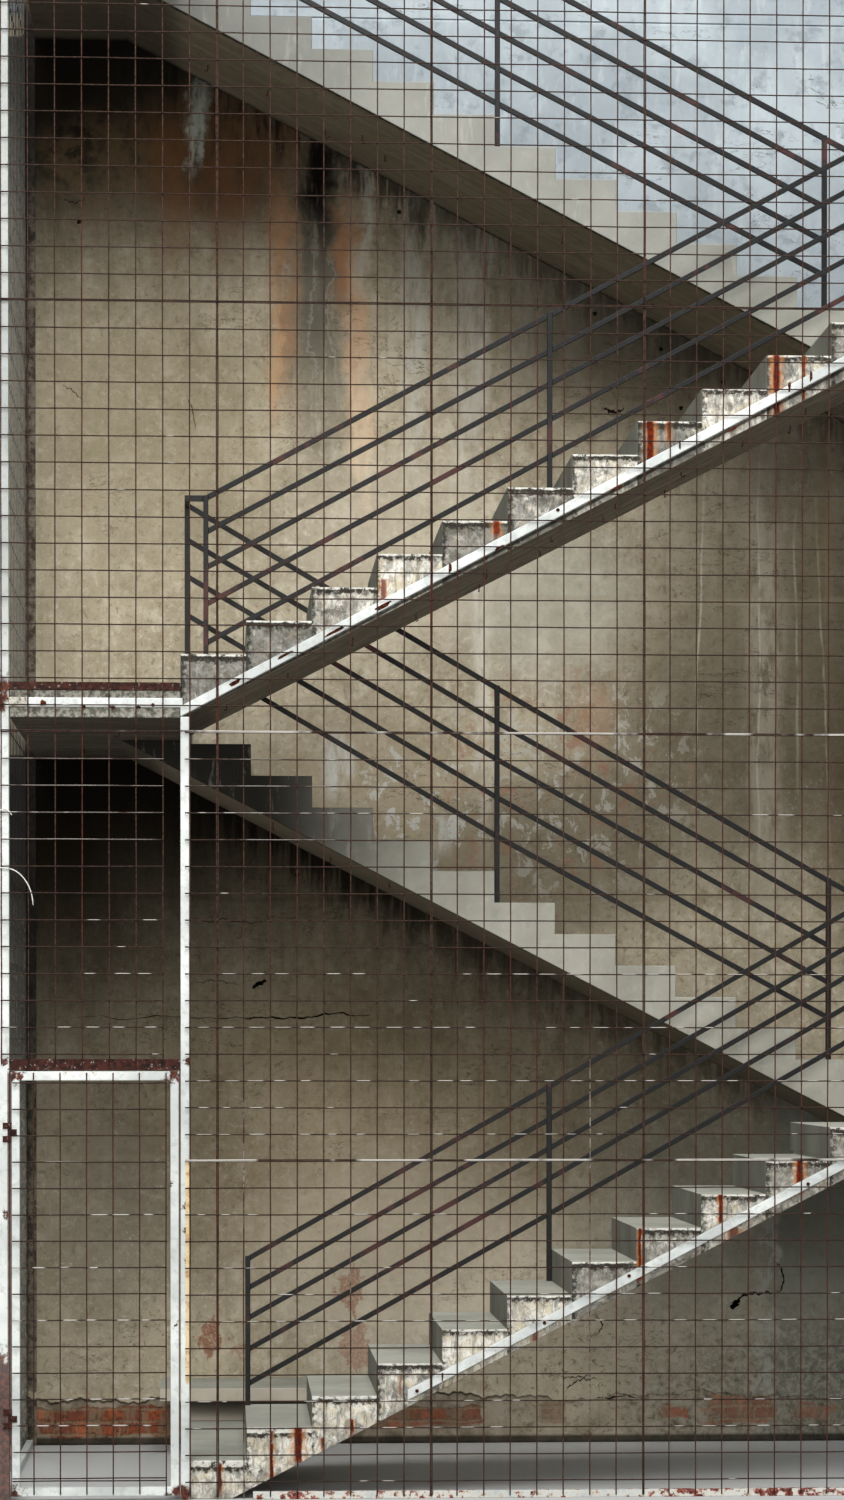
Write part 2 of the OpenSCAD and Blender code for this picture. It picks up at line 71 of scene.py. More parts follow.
# Broken lower edge of the wall's render: its height, and waves of size, rate and turn
edgeHeight = 0.245
edgeWaves = ((0.016, 5.1, 0.7), (0.010, 13.7, 2.1), (0.006, 31.0, 0.4), (0.0045, 67.0, 1.3), (0.003, 139.0, 2.6))


class Value:
    # A result on its way through a material; each sum, difference, product or quotient adds one Math node
    def __init__(self, paint, socket):
        self.paint, self.socket = paint, socket

    def __add__(self, other):
        return self.paint.calc("ADD", self, other)

    def __sub__(self, other):
        return self.paint.calc("SUBTRACT", self, other)

    def __rsub__(self, other):
        return self.paint.calc("SUBTRACT", other, self)

    def __mul__(self, other):
        return self.paint.calc("MULTIPLY", self, other)

    def __truediv__(self, other):
        return self.paint.calc("DIVIDE", self, other)


class Paint:
    # A procedural material under construction
    def __init__(self, name, roughness=0.8, gloss=0.2):
        self.material = bpy.data.materials.new(name)
        self.material.use_nodes = True
        self.tree = self.material.node_tree
        self.shader = self.tree.nodes["Principled BSDF"]
        self.shader.inputs["Roughness"].default_value = roughness
        self.shader.inputs["Specular IOR Level"].default_value = gloss
        self.place = self.value("ShaderNodeTexCoord", output="Object")
        self.parts = None

    # Adds one node; each input is (name or number, value or socket)
    def add(self, kind, inputs=(), **settings):
        made = self.tree.nodes.new(kind)
        for key, value in settings.items():
            setattr(made, key, value)
        for key, value in inputs:
            self.join(value, made.inputs[key])
        return made

    # Links a result to an input, or sets the input to a plain number or colour
    def join(self, value, target):
        if isinstance(value, Value):
            self.tree.links.new(value.socket, target)
        else:
            target.default_value = value

    # Adds one node and gives all its results
    def values(self, kind, inputs=(), **settings):
        return [Value(self, socket) for socket in self.add(kind, inputs, **settings).outputs]

    # Adds one node and gives one of its results
    def value(self, kind, inputs=(), output=0, **settings):
        return Value(self, self.add(kind, inputs, **settings).outputs[output])

    def calc(self, operation, a, b=0.0):
        return self.value("ShaderNodeMath", [(0, a), (1, b)], operation=operation)

    # One coordinate of the part's own layout: 0 along X, 1 to the back, 2 up
    def axis(self, index):
        if self.parts is None:
            moved = self.value("ShaderNodeVectorMath", [(0, self.place), (1, (originX, originY, 0.0))],
                               operation="ADD")
            self.parts = self.values("ShaderNodeSeparateXYZ", [(0, moved)])
        return self.parts[index]

    # One part of the surface's true direction
    def facing(self, index):
        shape = self.value("ShaderNodeNewGeometry", output="True Normal")
        return self.value("ShaderNodeSeparateXYZ", [(0, shape)], index)

    # 0 below low, gain above high, with an S-curve between; low may be the larger
    def smooth(self, value, low, high, gain=1.0):
        return self.value("ShaderNodeMapRange",
                          [("Value", value), ("From Min", low), ("From Max", high), ("To Min", 0.0),
                           ("To Max", gain)], interpolation_type="SMOOTHSTEP")

    def noise(self, scale, detail=3.0, roughness=0.55, stretch=(1, 1, 1), distortion=0.0, shift=0.0):
        spot = self.place
        if tuple(stretch) != (1, 1, 1) or shift:
            spot = self.value("ShaderNodeMapping",
                              [("Vector", spot), ("Location", (shift, shift * 0.7, shift * 1.3)),
                               ("Scale", stretch)])
        return self.value("ShaderNodeTexNoise", [("Vector", spot), ("Scale", scale), ("Detail", detail),
                                                 ("Roughness", roughness), ("Distortion", distortion)])

    # Colour a where factor is 0, colour b where it is 1; hex codes or results
    def mix(self, factor, a, b):
        a, b = (linear(colour) if isinstance(colour, str) else colour for colour in (a, b))
        return self.value("ShaderNodeMix", [(0, factor), (6, a), (7, b)], 2, data_type="RGBA")

    # Lays each row's tint over the colour: field, where it starts and where it is full, share, tint
    def tones(self, colour, *rows):
        for field, start, full, share, tint in rows:
            colour = self.mix(self.smooth(field, start, full, share), colour, tint)
        return colour

    # The largest of several masks
    def most(self, *masks):
        result = masks[0]
        for other in masks[1:]:
            result = self.calc("MAXIMUM", result, other)
        return result

    # 1 where value is within half of middle, falling to 0 over soft
    def within(self, value, middle, half, soft):
        return self.smooth(self.calc("ABSOLUTE", value - middle), half + soft, half)

    # An oval patch that fades from 1 at its middle to 0 at its half sizes
    def pool(self, x, z, middleX, middleZ, halfX, halfZ):
        dx, dz = (x - middleX) / halfX, (z - middleZ) / halfZ
        return self.smooth(dx * dx + dz * dz, 1.0, 0.0)

    # Value a where factor is 0, value b where it is 1
    def mixValue(self, factor, a, b):
        return self.value("ShaderNodeMix", [(0, factor), (2, a), (3, b)], data_type="FLOAT")

    # One of the values by place from 0 to 1, in equal steps
    def levels(self, place, values):
        made = self.add("ShaderNodeValToRGB", [(0, place)])
        ramp = made.color_ramp
        ramp.interpolation = "CONSTANT"
        ramp.elements[0].color = [values[0]] * 3 + [1.0]
        ramp.elements.remove(ramp.elements[1])
        for i, value in enumerate(values[1:], 1):
            ramp.elements.new(i / len(values)).color = [value] * 3 + [1.0]
        return Value(self, made.outputs[0])

    # Joins colour, roughness and bump height to the shader
    def finish(self, colour, roughness=None, height=None, strength=0.3, distance=0.01):
        self.join(linear(colour) if isinstance(colour, str) else colour, self.shader.inputs["Base Color"])
        if roughness is not None:
            self.join(roughness, self.shader.inputs["Roughness"])
        if height is not None:
            bump = self.value("ShaderNodeBump",
                              [("Strength", strength), ("Distance", distance), ("Height", height)])
            self.join(bump, self.shader.inputs["Normal"])
        return self.material


# Points of the part's own layout moved to the row frame.
def at(points):
    return np.asarray(points, dtype=float) - np.array([originX, originY, 0.0])


# Makes one mesh piece that rides a body; picks gives each face's material.
def addPiece(name, vertices, faces, materials, body, slotName, stands=(), smooth=True, picks=None):
    mesh = bpy.data.meshes.new(name)
    mesh.from_pydata(np.asarray(vertices).tolist(), [],
                     [list(f) for f in faces] if isinstance(faces, list) else faces.tolist())
    for material in materials:
        mesh.materials.append(material)
    mesh.polygons.foreach_set("use_smooth", np.full(len(mesh.polygons), smooth))
    if picks is not None:
        mesh.polygons.foreach_set("material_index", np.asarray(picks, dtype=np.int32))
    mesh.update()
    piece = bpy.data.objects.new(name, mesh)
    bpy.context.scene.collection.objects.link(piece)
    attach(piece, body)
    if stands:
        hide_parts(*stands)
    return piece


# Round bars: a ring of points at radius round each path point, square to the path, and flat ends.
# paths is an array of n paths by m points; gives vertices and faces.
def tubes(paths, radius, sides=6):
    paths = np.asarray(paths, dtype=float)
    count, steps, _ = paths.shape
    along = np.gradient(paths, axis=1)
    along /= np.linalg.norm(along, axis=2, keepdims=True)
    helper = np.where(np.abs(along[..., 2:3]) > 0.9, [[[1.0, 0, 0]]], [[[0, 0, 1.0]]])
    across = np.cross(along, helper)
    across /= np.linalg.norm(across, axis=2, keepdims=True)
    upward = np.cross(across, along)
    turn = (np.arange(sides) + 0.5) / sides * 2 * np.pi
    ring = radius * (np.cos(turn)[None, None, :, None] * across[:, :, None] + np.sin(turn)[None, None, :, None]
                     * upward[:, :, None])
    vertices = (paths[:, :, None] + ring).reshape(-1, 3)
    bar, step, side = np.meshgrid(np.arange(count), np.arange(steps - 1), np.arange(sides), indexing="ij")
    start = bar * steps * sides + step * sides
    after = (side + 1) % sides
    faces = np.stack([start + side, start + sides + side, start + sides + after, start + after], -1).reshape(-1,
            4)
    first = np.arange(count)[:, None] * steps * sides + np.arange(sides)
    last = first + (steps - 1) * sides
    return vertices, faces.tolist() + first.tolist() + last[:, ::-1].tolist()


# Small weld beads: eight-sided drops, points at radius from each centre along the axes.
def pips(centres, radius, flat=1.0):
    centres = np.asarray(centres, dtype=float)
    corners = np.array([[1, 0, 0], [-1, 0, 0], [0, 1, 0], [0, -1, 0], [0, 0, 1], [0, 0, -1]], dtype=float)
    corners *= np.array([radius, radius * flat, radius])
    sides = np.array([[0, 2, 4], [2, 1, 4], [1, 3, 4], [3, 0, 4], [2, 0, 5], [1, 2, 5], [3, 1, 5], [0, 3, 5]])
    vertices = (centres[:, None] + corners[None]).reshape(-1, 3)
    faces = (np.arange(len(centres))[:, None, None] * 6 + sides[None]).reshape(-1, 3)
    return vertices, faces.tolist()


# Several vertex and face lists as one, with the number of faces of each.
def joined(*parts):
    vertices, faces, counts, base = [], [], [], 0
    for v, f in parts:
        vertices.append(v)
        faces += [[i + base for i in face] for face in f] if base else list(f)
        counts.append(len(f))
        base += len(v)
    return np.concatenate(vertices), faces, counts


# Camera at the photograph's place, lights and floor
view = {"lens": 86.965, "sensor": 36, "shiftX": -0.01197, "shiftY": 0.2333, "farthest": 200,
        "place": (-1.5958, -17.8739, 2.0618), "turn": (89.211, -0.019, -3.338)}
cameraData = bpy.data.cameras.new("camera")
cameraData.lens, cameraData.sensor_width = view["lens"], view["sensor"]
cameraData.shift_x, cameraData.shift_y = view["shiftX"], view["shiftY"]
cameraData.clip_end = view["farthest"]
camera = bpy.data.objects.new("camera", cameraData)
camera.location = view["place"]
camera.rotation_euler = [math.radians(turn) for turn in view["turn"]]
bpy.context.scene.collection.objects.link(camera)
bpy.context.scene.camera = camera
bpy.context.scene.view_settings.view_transform = "Standard"


# A square soft light at place that looks at target.
def addLight(name, place, target, size, power, colour):
    data = bpy.data.lights.new(name, "AREA")
    data.shape = "SQUARE"
    data.size = size
    data.energy = power
    data.color = linear(colour)[:3]
    lamp = bpy.data.objects.new(name, data)
    lamp.location = place
    lamp.rotation_euler = (Vector(target) - Vector(place)).to_track_quat("-Z", "Y").to_euler()
    bpy.context.scene.collection.objects.link(lamp)


# Place, target, size in metres, power in watts and colour of each light, then the sky and the floor
studio = {"keyLight": ((-2.0, -9.0, 15.0), (0, 0, 4.2), 9.0, 3300, "#fdfdff"),
          "frontLight": ((-4.0, -24.0, 5.0), (0, 0, 1.2), 7.0, 2200, "#fffdf8"),
          "sideLight": ((11.0, -4.0, 9.0), (0, 0, 4.0), 6.0, 500, "#f4f8ff"),
          "backLight": ((-3.0, 12.0, 10.0), (0, 0, 4.0), 8.0, 1500, "#ffffff")}
sky = {"colour": "#e9edf1", "strength": 0.45}
ground = {"half": 60, "colour": "#a9a9a6", "roughness": 0.9}
for name, light in studio.items():
    addLight(name, *light)
world = bpy.data.worlds.new("softWorld")
world.use_nodes = True
world.node_tree.nodes["Background"].inputs[0].default_value = linear(sky["colour"])
world.node_tree.nodes["Background"].inputs[1].default_value = sky["strength"]
bpy.context.scene.world = world

floorMesh = bpy.data.meshes.new("floor")
corners = [(-1, -1), (1, -1), (1, 1), (-1, 1)]
floorMesh.from_pydata([(x * ground["half"], y * ground["half"], 0) for x, y in corners], [], [(0, 1, 2, 3)])
floor = bpy.data.objects.new("floor", floorMesh)
bpy.context.scene.collection.objects.link(floor)
floorMesh.materials.append(Paint("studioFloor", ground["roughness"]).finish(ground["colour"]))
print("stage: camera, light and floor")


# Marks on the wall, and painted shade and light. Pools: middle x and z, half sizes, colour, strength. Lifts:
# height and colour.
# Runs: x at the top, lean, half width, top, foot, colour, strength. Bricks: left, right, bottom, top, strength.
# Spots: middle, half sizes, strength.
wallMarksAndShade = {
    "pools": [
        (3.25, 3.95, 1.5, 1.35, "#443d2e", 0.82), (3.75, 3.3, 0.5, 1.6, "#40301d", 0.7),
        (1.85, 4.42, 0.62, 0.55, "#a9a698", 0.55), (2.13, 3.8, 0.15, 0.2, "#a98367", 0.28),
        (2.03, 3.52, 0.2, 0.15, "#a58a6f", 0.22), (0.2, 6.68, 0.55, 0.4, "#6b4226", 0.65),
        (2.45, 5.75, 0.9, 0.6, "#453a2b", 0.55), (-0.75, 5.2, 0.22, 2.4, "#6f6654", 0.2),
        (-0.7, 4.9, 0.6, 2.2, "#8a806a", 0.2), (-0.15, 5.3, 0.8, 1.05, "#766c55", 0.5),
        (2.55, 6.25, 1.1, 0.8, "#6f6e68", 0.5), (0.6, 2.3, 0.95, 0.6, "#4f412c", 0.35),
        (0.9, 1.6, 1.6, 1.0, "#7b6748", 0.4), (-0.4, 1.2, 0.42, 0.8, "#73726a", 0.4),
        (-0.7, 1.6, 1.2, 2.2, "#4d4434", 0.45), (0.9, 3.25, 1.0, 0.75, "#7f745e", 0.65),
        (2.0, 3.12, 0.85, 0.6, "#5d5443", 0.7), (3.4, 0.25, 1.3, 0.45, "#3f3c33", 0.6),
        (3.0, 1.15, 1.3, 0.8, "#85857a", 0.5), (1.15, 0.95, 1.1, 0.75, "#b9af9c", 0.5),
        (1.1, 4.7, 0.8, 0.7, "#bdb3a0", 0.4)],
    "lifts": [(4.43, "#8c826d"), (2.86, "#6d6350"), (1.5, "#8f8571")],
    "runs": [
        (1.19, 0.0, 0.075, 6.55, 4.75, "#bdbbb0", 0.75), (1.46, 0.0, 0.085, 6.4, 4.6, "#bbb8ac", 0.7),
        (1.56, 0.0, 0.04, 6.3, 5.2, "#c4c1b7", 0.7), (1.79, 0.0, 0.12, 6.2, 5.2, "#a39e90", 0.5),
        (1.32, 0.0, 0.03, 6.5, 5.3, "#a8a497", 0.5), (2.02, 0.0, 0.05, 6.1, 5.3, "#8f8a7c", 0.5),
        (0.93, -0.02, 0.03, 5.9, 4.7, "#cdb79b", 0.6), (3.035, 0.0, 0.11, 5.6, 1.6, "#a9a292", 0.45),
        (2.72, 0.03, 0.007, 5.2, 3.1, "#c3bdae", 0.4), (3.0, 0.0, 0.006, 5.2, 2.6, "#c3bdae", 0.35),
        (3.18, -0.02, 0.007, 5.4, 3.0, "#b9b3a4", 0.35), (3.3, -0.04, 0.006, 5.2, 2.7, "#b9b3a4", 0.35),
        (1.55, 0.0, 0.045, 4.75, 2.85, "#c6c0b1", 0.7), (0.78, 0.0, 0.06, 3.72, 3.3, "#b9bab5", 0.7),
        (1.33, 0.0, 0.06, 3.3, 3.05, "#b5b5ae", 0.7), (0.86, 0.0, 0.03, 3.66, 3.45, "#c4c4be", 0.6),
        (1.95, 0.02, 0.05, 4.4, 3.2, "#8d836f", 0.35), (3.35, 0.0, 0.05, 5.3, 4.2, "#8c7a5c", 0.4)],
    "lateRuns": [
        (-0.07, 0.0, 0.12, 6.85, 5.9, "#5d4029", 0.45), (0.22, 0.0, 0.12, 6.8, 5.95, "#553a27", 0.45),
        (0.08, 0.08, 0.06, 7.08, 6.72, "#6f7268", 0.8), (0.035, 0.0, 0.02, 6.95, 6.55, "#85887f", 0.7),
        (0.08, 0.0, 0.02, 6.9, 6.6, "#85887f", 0.7), (0.69, 0.0, 0.14, 6.65, 5.3, "#38362f", 0.85),
        (0.69, 0.0, 0.19, 6.2, 4.8, "#615d51", 0.6), (0.51, 0.0, 0.08, 6.5, 5.2, "#875f3f", 0.6),
        (0.475, 0.0, 0.025, 5.9, 5.2, "#b08d68", 0.6), (0.825, 0.0, 0.06, 6.42, 5.8, "#85593a", 0.7),
        (0.897, 0.0, 0.06, 6.18, 4.9, "#a58263", 0.62), (0.9, 0.0, 0.04, 5.6, 4.7, "#c9b49a", 0.6),
        (0.93, 0.0, 0.035, 6.62, 5.85, "#908e83", 0.65), (0.66, 0.01, 0.009, 6.25, 5.2, "#94928a", 0.35),
        (0.75, -0.03, 0.009, 6.2, 5.2, "#94928a", 0.35), (0.7, 0.0, 0.1, 6.98, 6.15, "#090604", 1.0)],
    "bricks": [
        (-0.76, 0.03, 0.05, 0.19, 1.0), (1.02, 1.52, 0.1, 0.185, 0.8), (1.86, 2.0, 0.1, 0.19, 0.55),
        (2.5, 2.6, 0.13, 0.185, 0.7), (2.76, 3.09, 0.1, 0.23, 0.7), (3.2, 3.4, 0.1, 0.19, 0.5),
        (3.9, 4.2, 0.1, 0.19, 0.6)],
    "spots": [
        (0.12, 0.55, 0.075, 0.13, 0.75), (0.853, 0.81, 0.1, 0.14, 0.6), (0.885, 0.52, 0.085, 0.17, 0.5),
        (0.3, 0.48, 0.06, 0.05, 0.35)]}


# Cement render on brick: tan, clouded by weather, damp and with painted shade under the landings and flights,
# with pale, orange and black runs of water below the upper flight, above it a paler blue-grey coat with painted
# sky light on it, painted shadow along the ground, and brick bare at the foot.
def wallMaterial():
    p = Paint("weatheredRender", 0.95, 0.08)
    x, z = p.axis(0), p.axis(2)
    cloud = p.noise(1.5, 5.0, 0.62)
    blotch = p.noise(7.5, 5.0, 0.68)
    grain = p.noise(75.0, 4.0, 0.7)
    fleck = p.noise(26.0, 5.0, 0.75, (1, 1, 1), 0.6, 5.0)
    drips = p.noise(1.0, 4.0, 0.62, (24.0, 24.0, 1.1), 0.3)
    tear = p.noise(1.0, 5.0, 0.72, (13.0, 13.0, 3.4), 0.2, 3.0)
    chips = p.noise(11.0, 6.0, 0.72, (1.0, 1.0, 0.8), 0.5, 21.0)
    colour = p.mix(p.smooth(cloud, 0.34, 0.66), "#968c76", "#b0a58d")
    colour = p.tones(colour, (blotch, 0.50, 0.66, 0.45, "#c6bda9"), (blotch, 0.47, 0.32, 0.55, "#81765f"),
                     (grain, 0.55, 0.75, 0.3, "#cbc2b1"), (grain, 0.43, 0.27, 0.5, "#6a604e"),
                     (fleck, 0.54, 0.66, 0.62, "#c2b9a6"), (fleck, 0.46, 0.34, 0.62, "#6d6350"),
                     (drips, 0.55, 0.75, 0.25, "#c2baa8"), (drips, 0.45, 0.27, 0.28, "#776d5a"))
    plain = colour
    # Broad tones: stains, with painted shade in the dark pools under the slabs and flights and painted light in
    # the pale pool low down
    for px, pz, rx, rz, tint, strength in wallMarksAndShade["pools"]:
        colour = p.mix(p.pool(x, z, px, pz, rx, rz) * strength, colour, tint)
    # Render lifts: faint level bands where one day's work met the next
    for height, tint in wallMarksAndShade["lifts"]:
        colour = p.mix(p.within(z + (cloud - 0.5) * 0.08, height, 0.004, 0.02) * 0.3, colour, tint)
    # Runs of water, their edges frayed and their tops ragged
    bent = x + (p.noise(1.0, 2.0, 0.5, (3.0, 3.0, 1.2)) - 0.5) * 0.10
    ragged = z + (tear - 0.5) * 0.9
    fray = p.noise(5.5, 5.0, 0.7, (1.0, 1.0, 0.8), 0.3, 21.0)
    frayed = bent + (fray - 0.5) * 0.24

    # Each run fades to both sides and downwards, starts raggedly, and is broken where the torn noise is low.
    def runs(colour, places, torn, soft):
        for start, lean, half, top, foot, tint, strength in places:
            across = frayed if soft else bent
            middle = across + (top - z) * lean if lean else across
            side = p.within(middle, start, half * 0.15, half * 1.3)
            tall = (p.smooth(z, foot, foot + (top - foot) * 0.45)
                    * p.smooth(ragged if soft else z, top + 0.05 + soft, top - 0.05 - soft))
            colour = p.mix(side * tall * torn * strength, colour, tint)
        return colour

    colour = runs(colour, wallMarksAndShade["runs"], p.smooth(tear, 0.34, 0.58), 0.0)
    # Paint and render flaked off between the flights, pale and pink
    flaked = p.pool(x, z, 1.95, 3.45, 0.95, 0.8)
    colour = p.mix(flaked * p.smooth(chips, 0.55, 0.59) * 0.7, colour, "#aeaba0")
    colour = p.mix(flaked * p.smooth(chips, 0.43, 0.39) * 0.6, colour, "#8d6450")
    colour = p.mix(p.pool(x, z, 1.2, 3.3, 0.5, 0.6) * p.smooth(chips, 0.57, 0.6) * 0.7, colour, "#b4b4ae")
    # Pale scratches and scuffs, most of them low down
    scuffField = p.noise(3.1, 5.0, 0.75, (1.0, 1.0, 1.0), 1.2, 11.0)
    scuff = p.within(scuffField, 0.5, 0.0006, 0.004) * p.smooth(fleck, 0.48, 0.58) * p.smooth(z, 5.4, 0.8)
    colour = p.mix(scuff * 0.65, colour, "#c3bcab")
    # Damp and painted shade under the slabs, ragged, deepest and near black beneath the left landings, with soot
    # and painted shade in drips just below each slab
    wander = (tear - 0.5) * 0.55
    climb = (turnBack - x) * (riser / going)
    for start, landing, span, reach, strength, ease in (
            (landLow, landMid, 1.8, 2.8, 0.93, 0.3), (landHigh, landTop, 1.6, 1.9, 0.74, 0.0)):
        line = p.calc("MINIMUM", climb + (start - 0.158), landing - 0.14)
        down = line - z
        here = p.smooth(down, -0.02, 0.0)
        dampAndShade = p.smooth(down + wander, span, -0.25) * here * (strength - p.smooth(x, 1.5, 2.9, ease))
        colour = p.mix(dampAndShade, colour, "#1c150b")
        corner = p.smooth(x, 0.75, -0.7) * p.smooth(down + wander * 0.6, reach, 0.45) * here * 0.96
        colour = p.mix(corner, colour, "#150e05")
        deep = p.smooth(x, 1.0, -0.2) * p.smooth(down, 1.15, 0.1) * here * 0.9
        colour = p.mix(deep, colour, "#080502")
        shadeAndSoot = (p.smooth(down + wander * 1.3, 0.26, 0.0) * p.smooth(drips, 0.36, 0.5) * here
                * (0.9 - p.smooth(x, 0.7, 1.7, 0.4)))
        colour = p.mix(shadeAndSoot, colour, "#0c0905")
    # Over the damp and painted shade: rust and lime from the joint of the top landing, and a black tongue between
    # two orange ones
    colour = p.mix(p.pool(x, z, 0.15, 6.72, 0.7, 0.42) * p.smooth(tear, 0.36, 0.56) * 0.5, colour, "#4f3822")
    colour = p.mix(p.pool(x, z, -0.45, 6.6, 0.45, 0.4) * p.smooth(blotch, 0.4, 0.56) * 0.45, colour, "#55452f")
    colour = runs(colour, wallMarksAndShade["lateRuns"], p.smooth(tear, 0.26, 0.5), 0.12)
    # Above the top flight and landing: a paler blue-grey coat with painted sky light on it, darker lower down
    above = p.calc("MINIMUM", climb + landHigh, landTop)
    pale = p.mix(p.smooth(cloud, 0.36, 0.64), "#858d91", "#99a1a4")
    pale = p.mix(p.smooth(tear, 0.5, 0.72, 0.55), pale, "#aab0b2")
    pale = p.mix(p.smooth(z, 7.0, 6.0) * 0.35, pale, "#6a7174")
    pale = p.tones(pale, (blotch, 0.48, 0.34, 0.55, "#6b7377"), (drips, 0.56, 0.72, 0.4, "#8c8f8a"))
    colour = p.mix(p.smooth(z - above, -0.05, 0.02), colour, pale)
    # Fine cracks: thin lines where a slow noise passes its middle
    crackField = p.noise(2.4, 6.0, 0.66, (0.6, 0.6, 1.7), 0.4)
    crack = p.within(crackField, 0.5, 0.0004, 0.0035) * p.smooth(cloud, 0.5, 0.6)
    colour = p.mix(crack * 0.7, colour, "#2b261e")
    # Smoother grey patch low at the right, with a pale edge
    ragX = x + (tear * 0.4 + blotch * 0.6 - 0.5) * 0.5
    low = p.smooth(z - (ragX - 3.1) * 0.25, 1.9, 1.75)
    colour = p.mix(p.smooth(ragX, 3.0, 3.14) * low * 0.55, colour,
                   p.mix(p.smooth(cloud, 0.38, 0.62), "#54564f", "#6c6f69"))
    colour = p.mix(p.within(ragX, 3.05, 0.03, 0.05) * p.smooth(z, 1.3, 1.0) * p.smooth(chips, 0.48, 0.53) * 0.75,
                   colour, "#979990")
    colour = p.mix(p.smooth(x, 1.8, 2.5) * p.smooth(z, 1.6, 0.3) * 0.5, colour, "#55554b")
    # Foot of the wall: rough brown render, brick bare in strips, and painted shadow along the ground
    ragZ = z + (p.noise(3.6, 5.0, 0.7) - 0.5) * 0.16
    edge = z - edgeHeight
    for size, rate, turn in edgeWaves:
        wave = p.calc("SINE", x * rate + turn)
        edge = edge - wave * size
    foot = p.smooth(edge, 0.001, -0.001)
    clear = p.smooth(x, 2.2, 1.3)  # fades to the right
    colour = p.mix(foot * (clear * 0.4 + 0.35), colour, p.mix(p.smooth(blotch, 0.4, 0.6), "#4f4739", "#84796a"))
    colour = p.mix(p.within(edge, -0.004, 0.002, 0.01) * (clear * 0.5 + 0.12), colour, "#1f1912")
    colour = p.mix(p.smooth(x, 1.2, 2.2) * p.smooth(z, 0.9, 0.3) * p.smooth(fleck, 0.47, 0.58) * 0.45, colour,
                   "#8c887c")
    colour = p.mix(p.smooth(x, 1.2, 2.2) * p.smooth(z, 0.9, 0.3) * p.smooth(fleck, 0.45, 0.36) * 0.55, colour,
                   "#38332a")
    bend = (p.noise(9.0, 4.0, 0.7) - 0.5) * 0.05
    flat = p.value("ShaderNodeCombineXYZ", [(0, x + bend), (1, z - 0.052 + bend * 0.7)])
    brickTone, joint = p.values("ShaderNodeTexBrick",
                                [("Vector", flat), ("Color1", linear("#8f4a2f")), ("Color2", linear("#6a3c2c")),
                                 ("Mortar", linear("#7f6b54")), ("Scale", 1.0), ("Mortar Size", 0.010),
                                 ("Mortar Smooth", 0.6), ("Brick Width", 0.23), ("Row Height", 0.068)])
    brick = p.mix(p.smooth(grain, 0.42, 0.6, 0.7), brickTone, "#5c3b2c")
    brick = p.tones(brick, (tear, 0.46, 0.58, 0.8, "#75634f"), (fleck, 0.55, 0.62, 0.7, "#2d211a"),
                    (blotch, 0.55, 0.66, 0.4, "#a85c38"))
    bare = p.most(*[p.within(ragX, (left + right) / 2, (right - left) / 2, 0.02)
                    * p.within(ragZ, (bottom + top) / 2, (top - bottom) / 2, 0.015) * strength
                    for left, right, bottom, top, strength in wallMarksAndShade["bricks"]])
    colour = p.mix(bare, colour, brick)
    # Spots where the render has come off higher up
    farX = x + (blotch - 0.5) * 0.35
    farZ = z + (tear - 0.5) * 0.3
    spots = p.most(*[p.smooth(p.pool(farX, farZ, sx, sz, rx, rz), 0.25, 0.4) * p.smooth(grain, 0.36, 0.5)
                     * strength for sx, sz, rx, rz, strength in wallMarksAndShade["spots"]])
    colour = p.mix(spots, colour, p.mix(p.smooth(grain, 0.45, 0.6), "#a05a3f", "#6f4635"))
    # Painted shadow: near black along the foot, where the wall meets the ground
    colour = p.mix(p.smooth(z, 0.05, 0.03, 0.85), colour, "#1d1a16")
    broken = p.most(bare, foot * 0.5, spots)
    height = blotch * 0.6 + grain * 0.16
    height = height - broken * 1.0
    height = height - bare * joint * 0.5
    height = height - crack * 0.5
    # The wall's ends and back have none of the front's stains
    behind = p.smooth(p.axis(1), depth + 0.02, depth + 0.05)
    colour = p.mix(behind, colour, plain)
    height = p.mixValue(behind, height, blotch * 0.6)
    return p.finish(colour, None, height, 0.5, 0.012)


# Marks on the screen side's concrete. Rust: middle, half width, top, foot, strength; washes: how white each
# step's face is, from the foot up, on the lowest flight and on the one above the middle landing
concreteMarks = {
    "rust": [
        (0.18, 0.011, 0.16, 0.03, 0.95), (0.415, 0.008, 0.31, 0.24, 0.8), (0.416, 0.014, 0.25, 0.075, 1.0),
        (0.538, 0.03, 0.33, 0.155, 1.0), (0.651, 0.012, 0.275, 0.22, 0.9), (0.785, 0.013, 0.36, 0.29, 1.0),
        (1.007, 0.007, 0.56, 0.46, 0.5), (2.115, 0.013, 1.24, 1.0, 1.0), (2.49, 0.013, 1.40, 1.25, 1.0),
        (2.86, 0.026, 1.55, 1.40, 1.0), (2.86, 0.03, 1.33, 1.28, 0.8), (2.55, 0.04, 1.24, 1.16, 0.8),
        (1.63, 0.02, 0.78, 0.7, 0.7), (2.16, 0.028, 5.16, 4.74, 1.0), (2.745, 0.026, 5.45, 4.98, 1.0),
        (2.872, 0.010, 5.46, 5.05, 0.9), (2.5, 0.006, 5.3, 5.1, 0.7), (2.245, 0.013, 4.96, 4.86, 0.8),
        (1.45, 0.024, 4.65, 4.42, 0.95), (1.41, 0.008, 4.65, 4.5, 0.7), (2.34, 0.03, 5.15, 4.98, 0.55),
        (0.93, 0.02, 4.22, 4.12, 0.8), (3.3, 0.012, 5.6, 5.3, 0.7)],
    "lowWash": [0.5, 0.75, 0.8, 0.72, 0.62, 0.95, 0.85, 0.35, 0.42, 0.7, 0.5, 0.4],
    "highWash": [0.3, 0.28, 0.3, 0.6, 0.9, 0.32, 0.36, 0.65, 0.3, 0.75, 0.5, 0.4]}
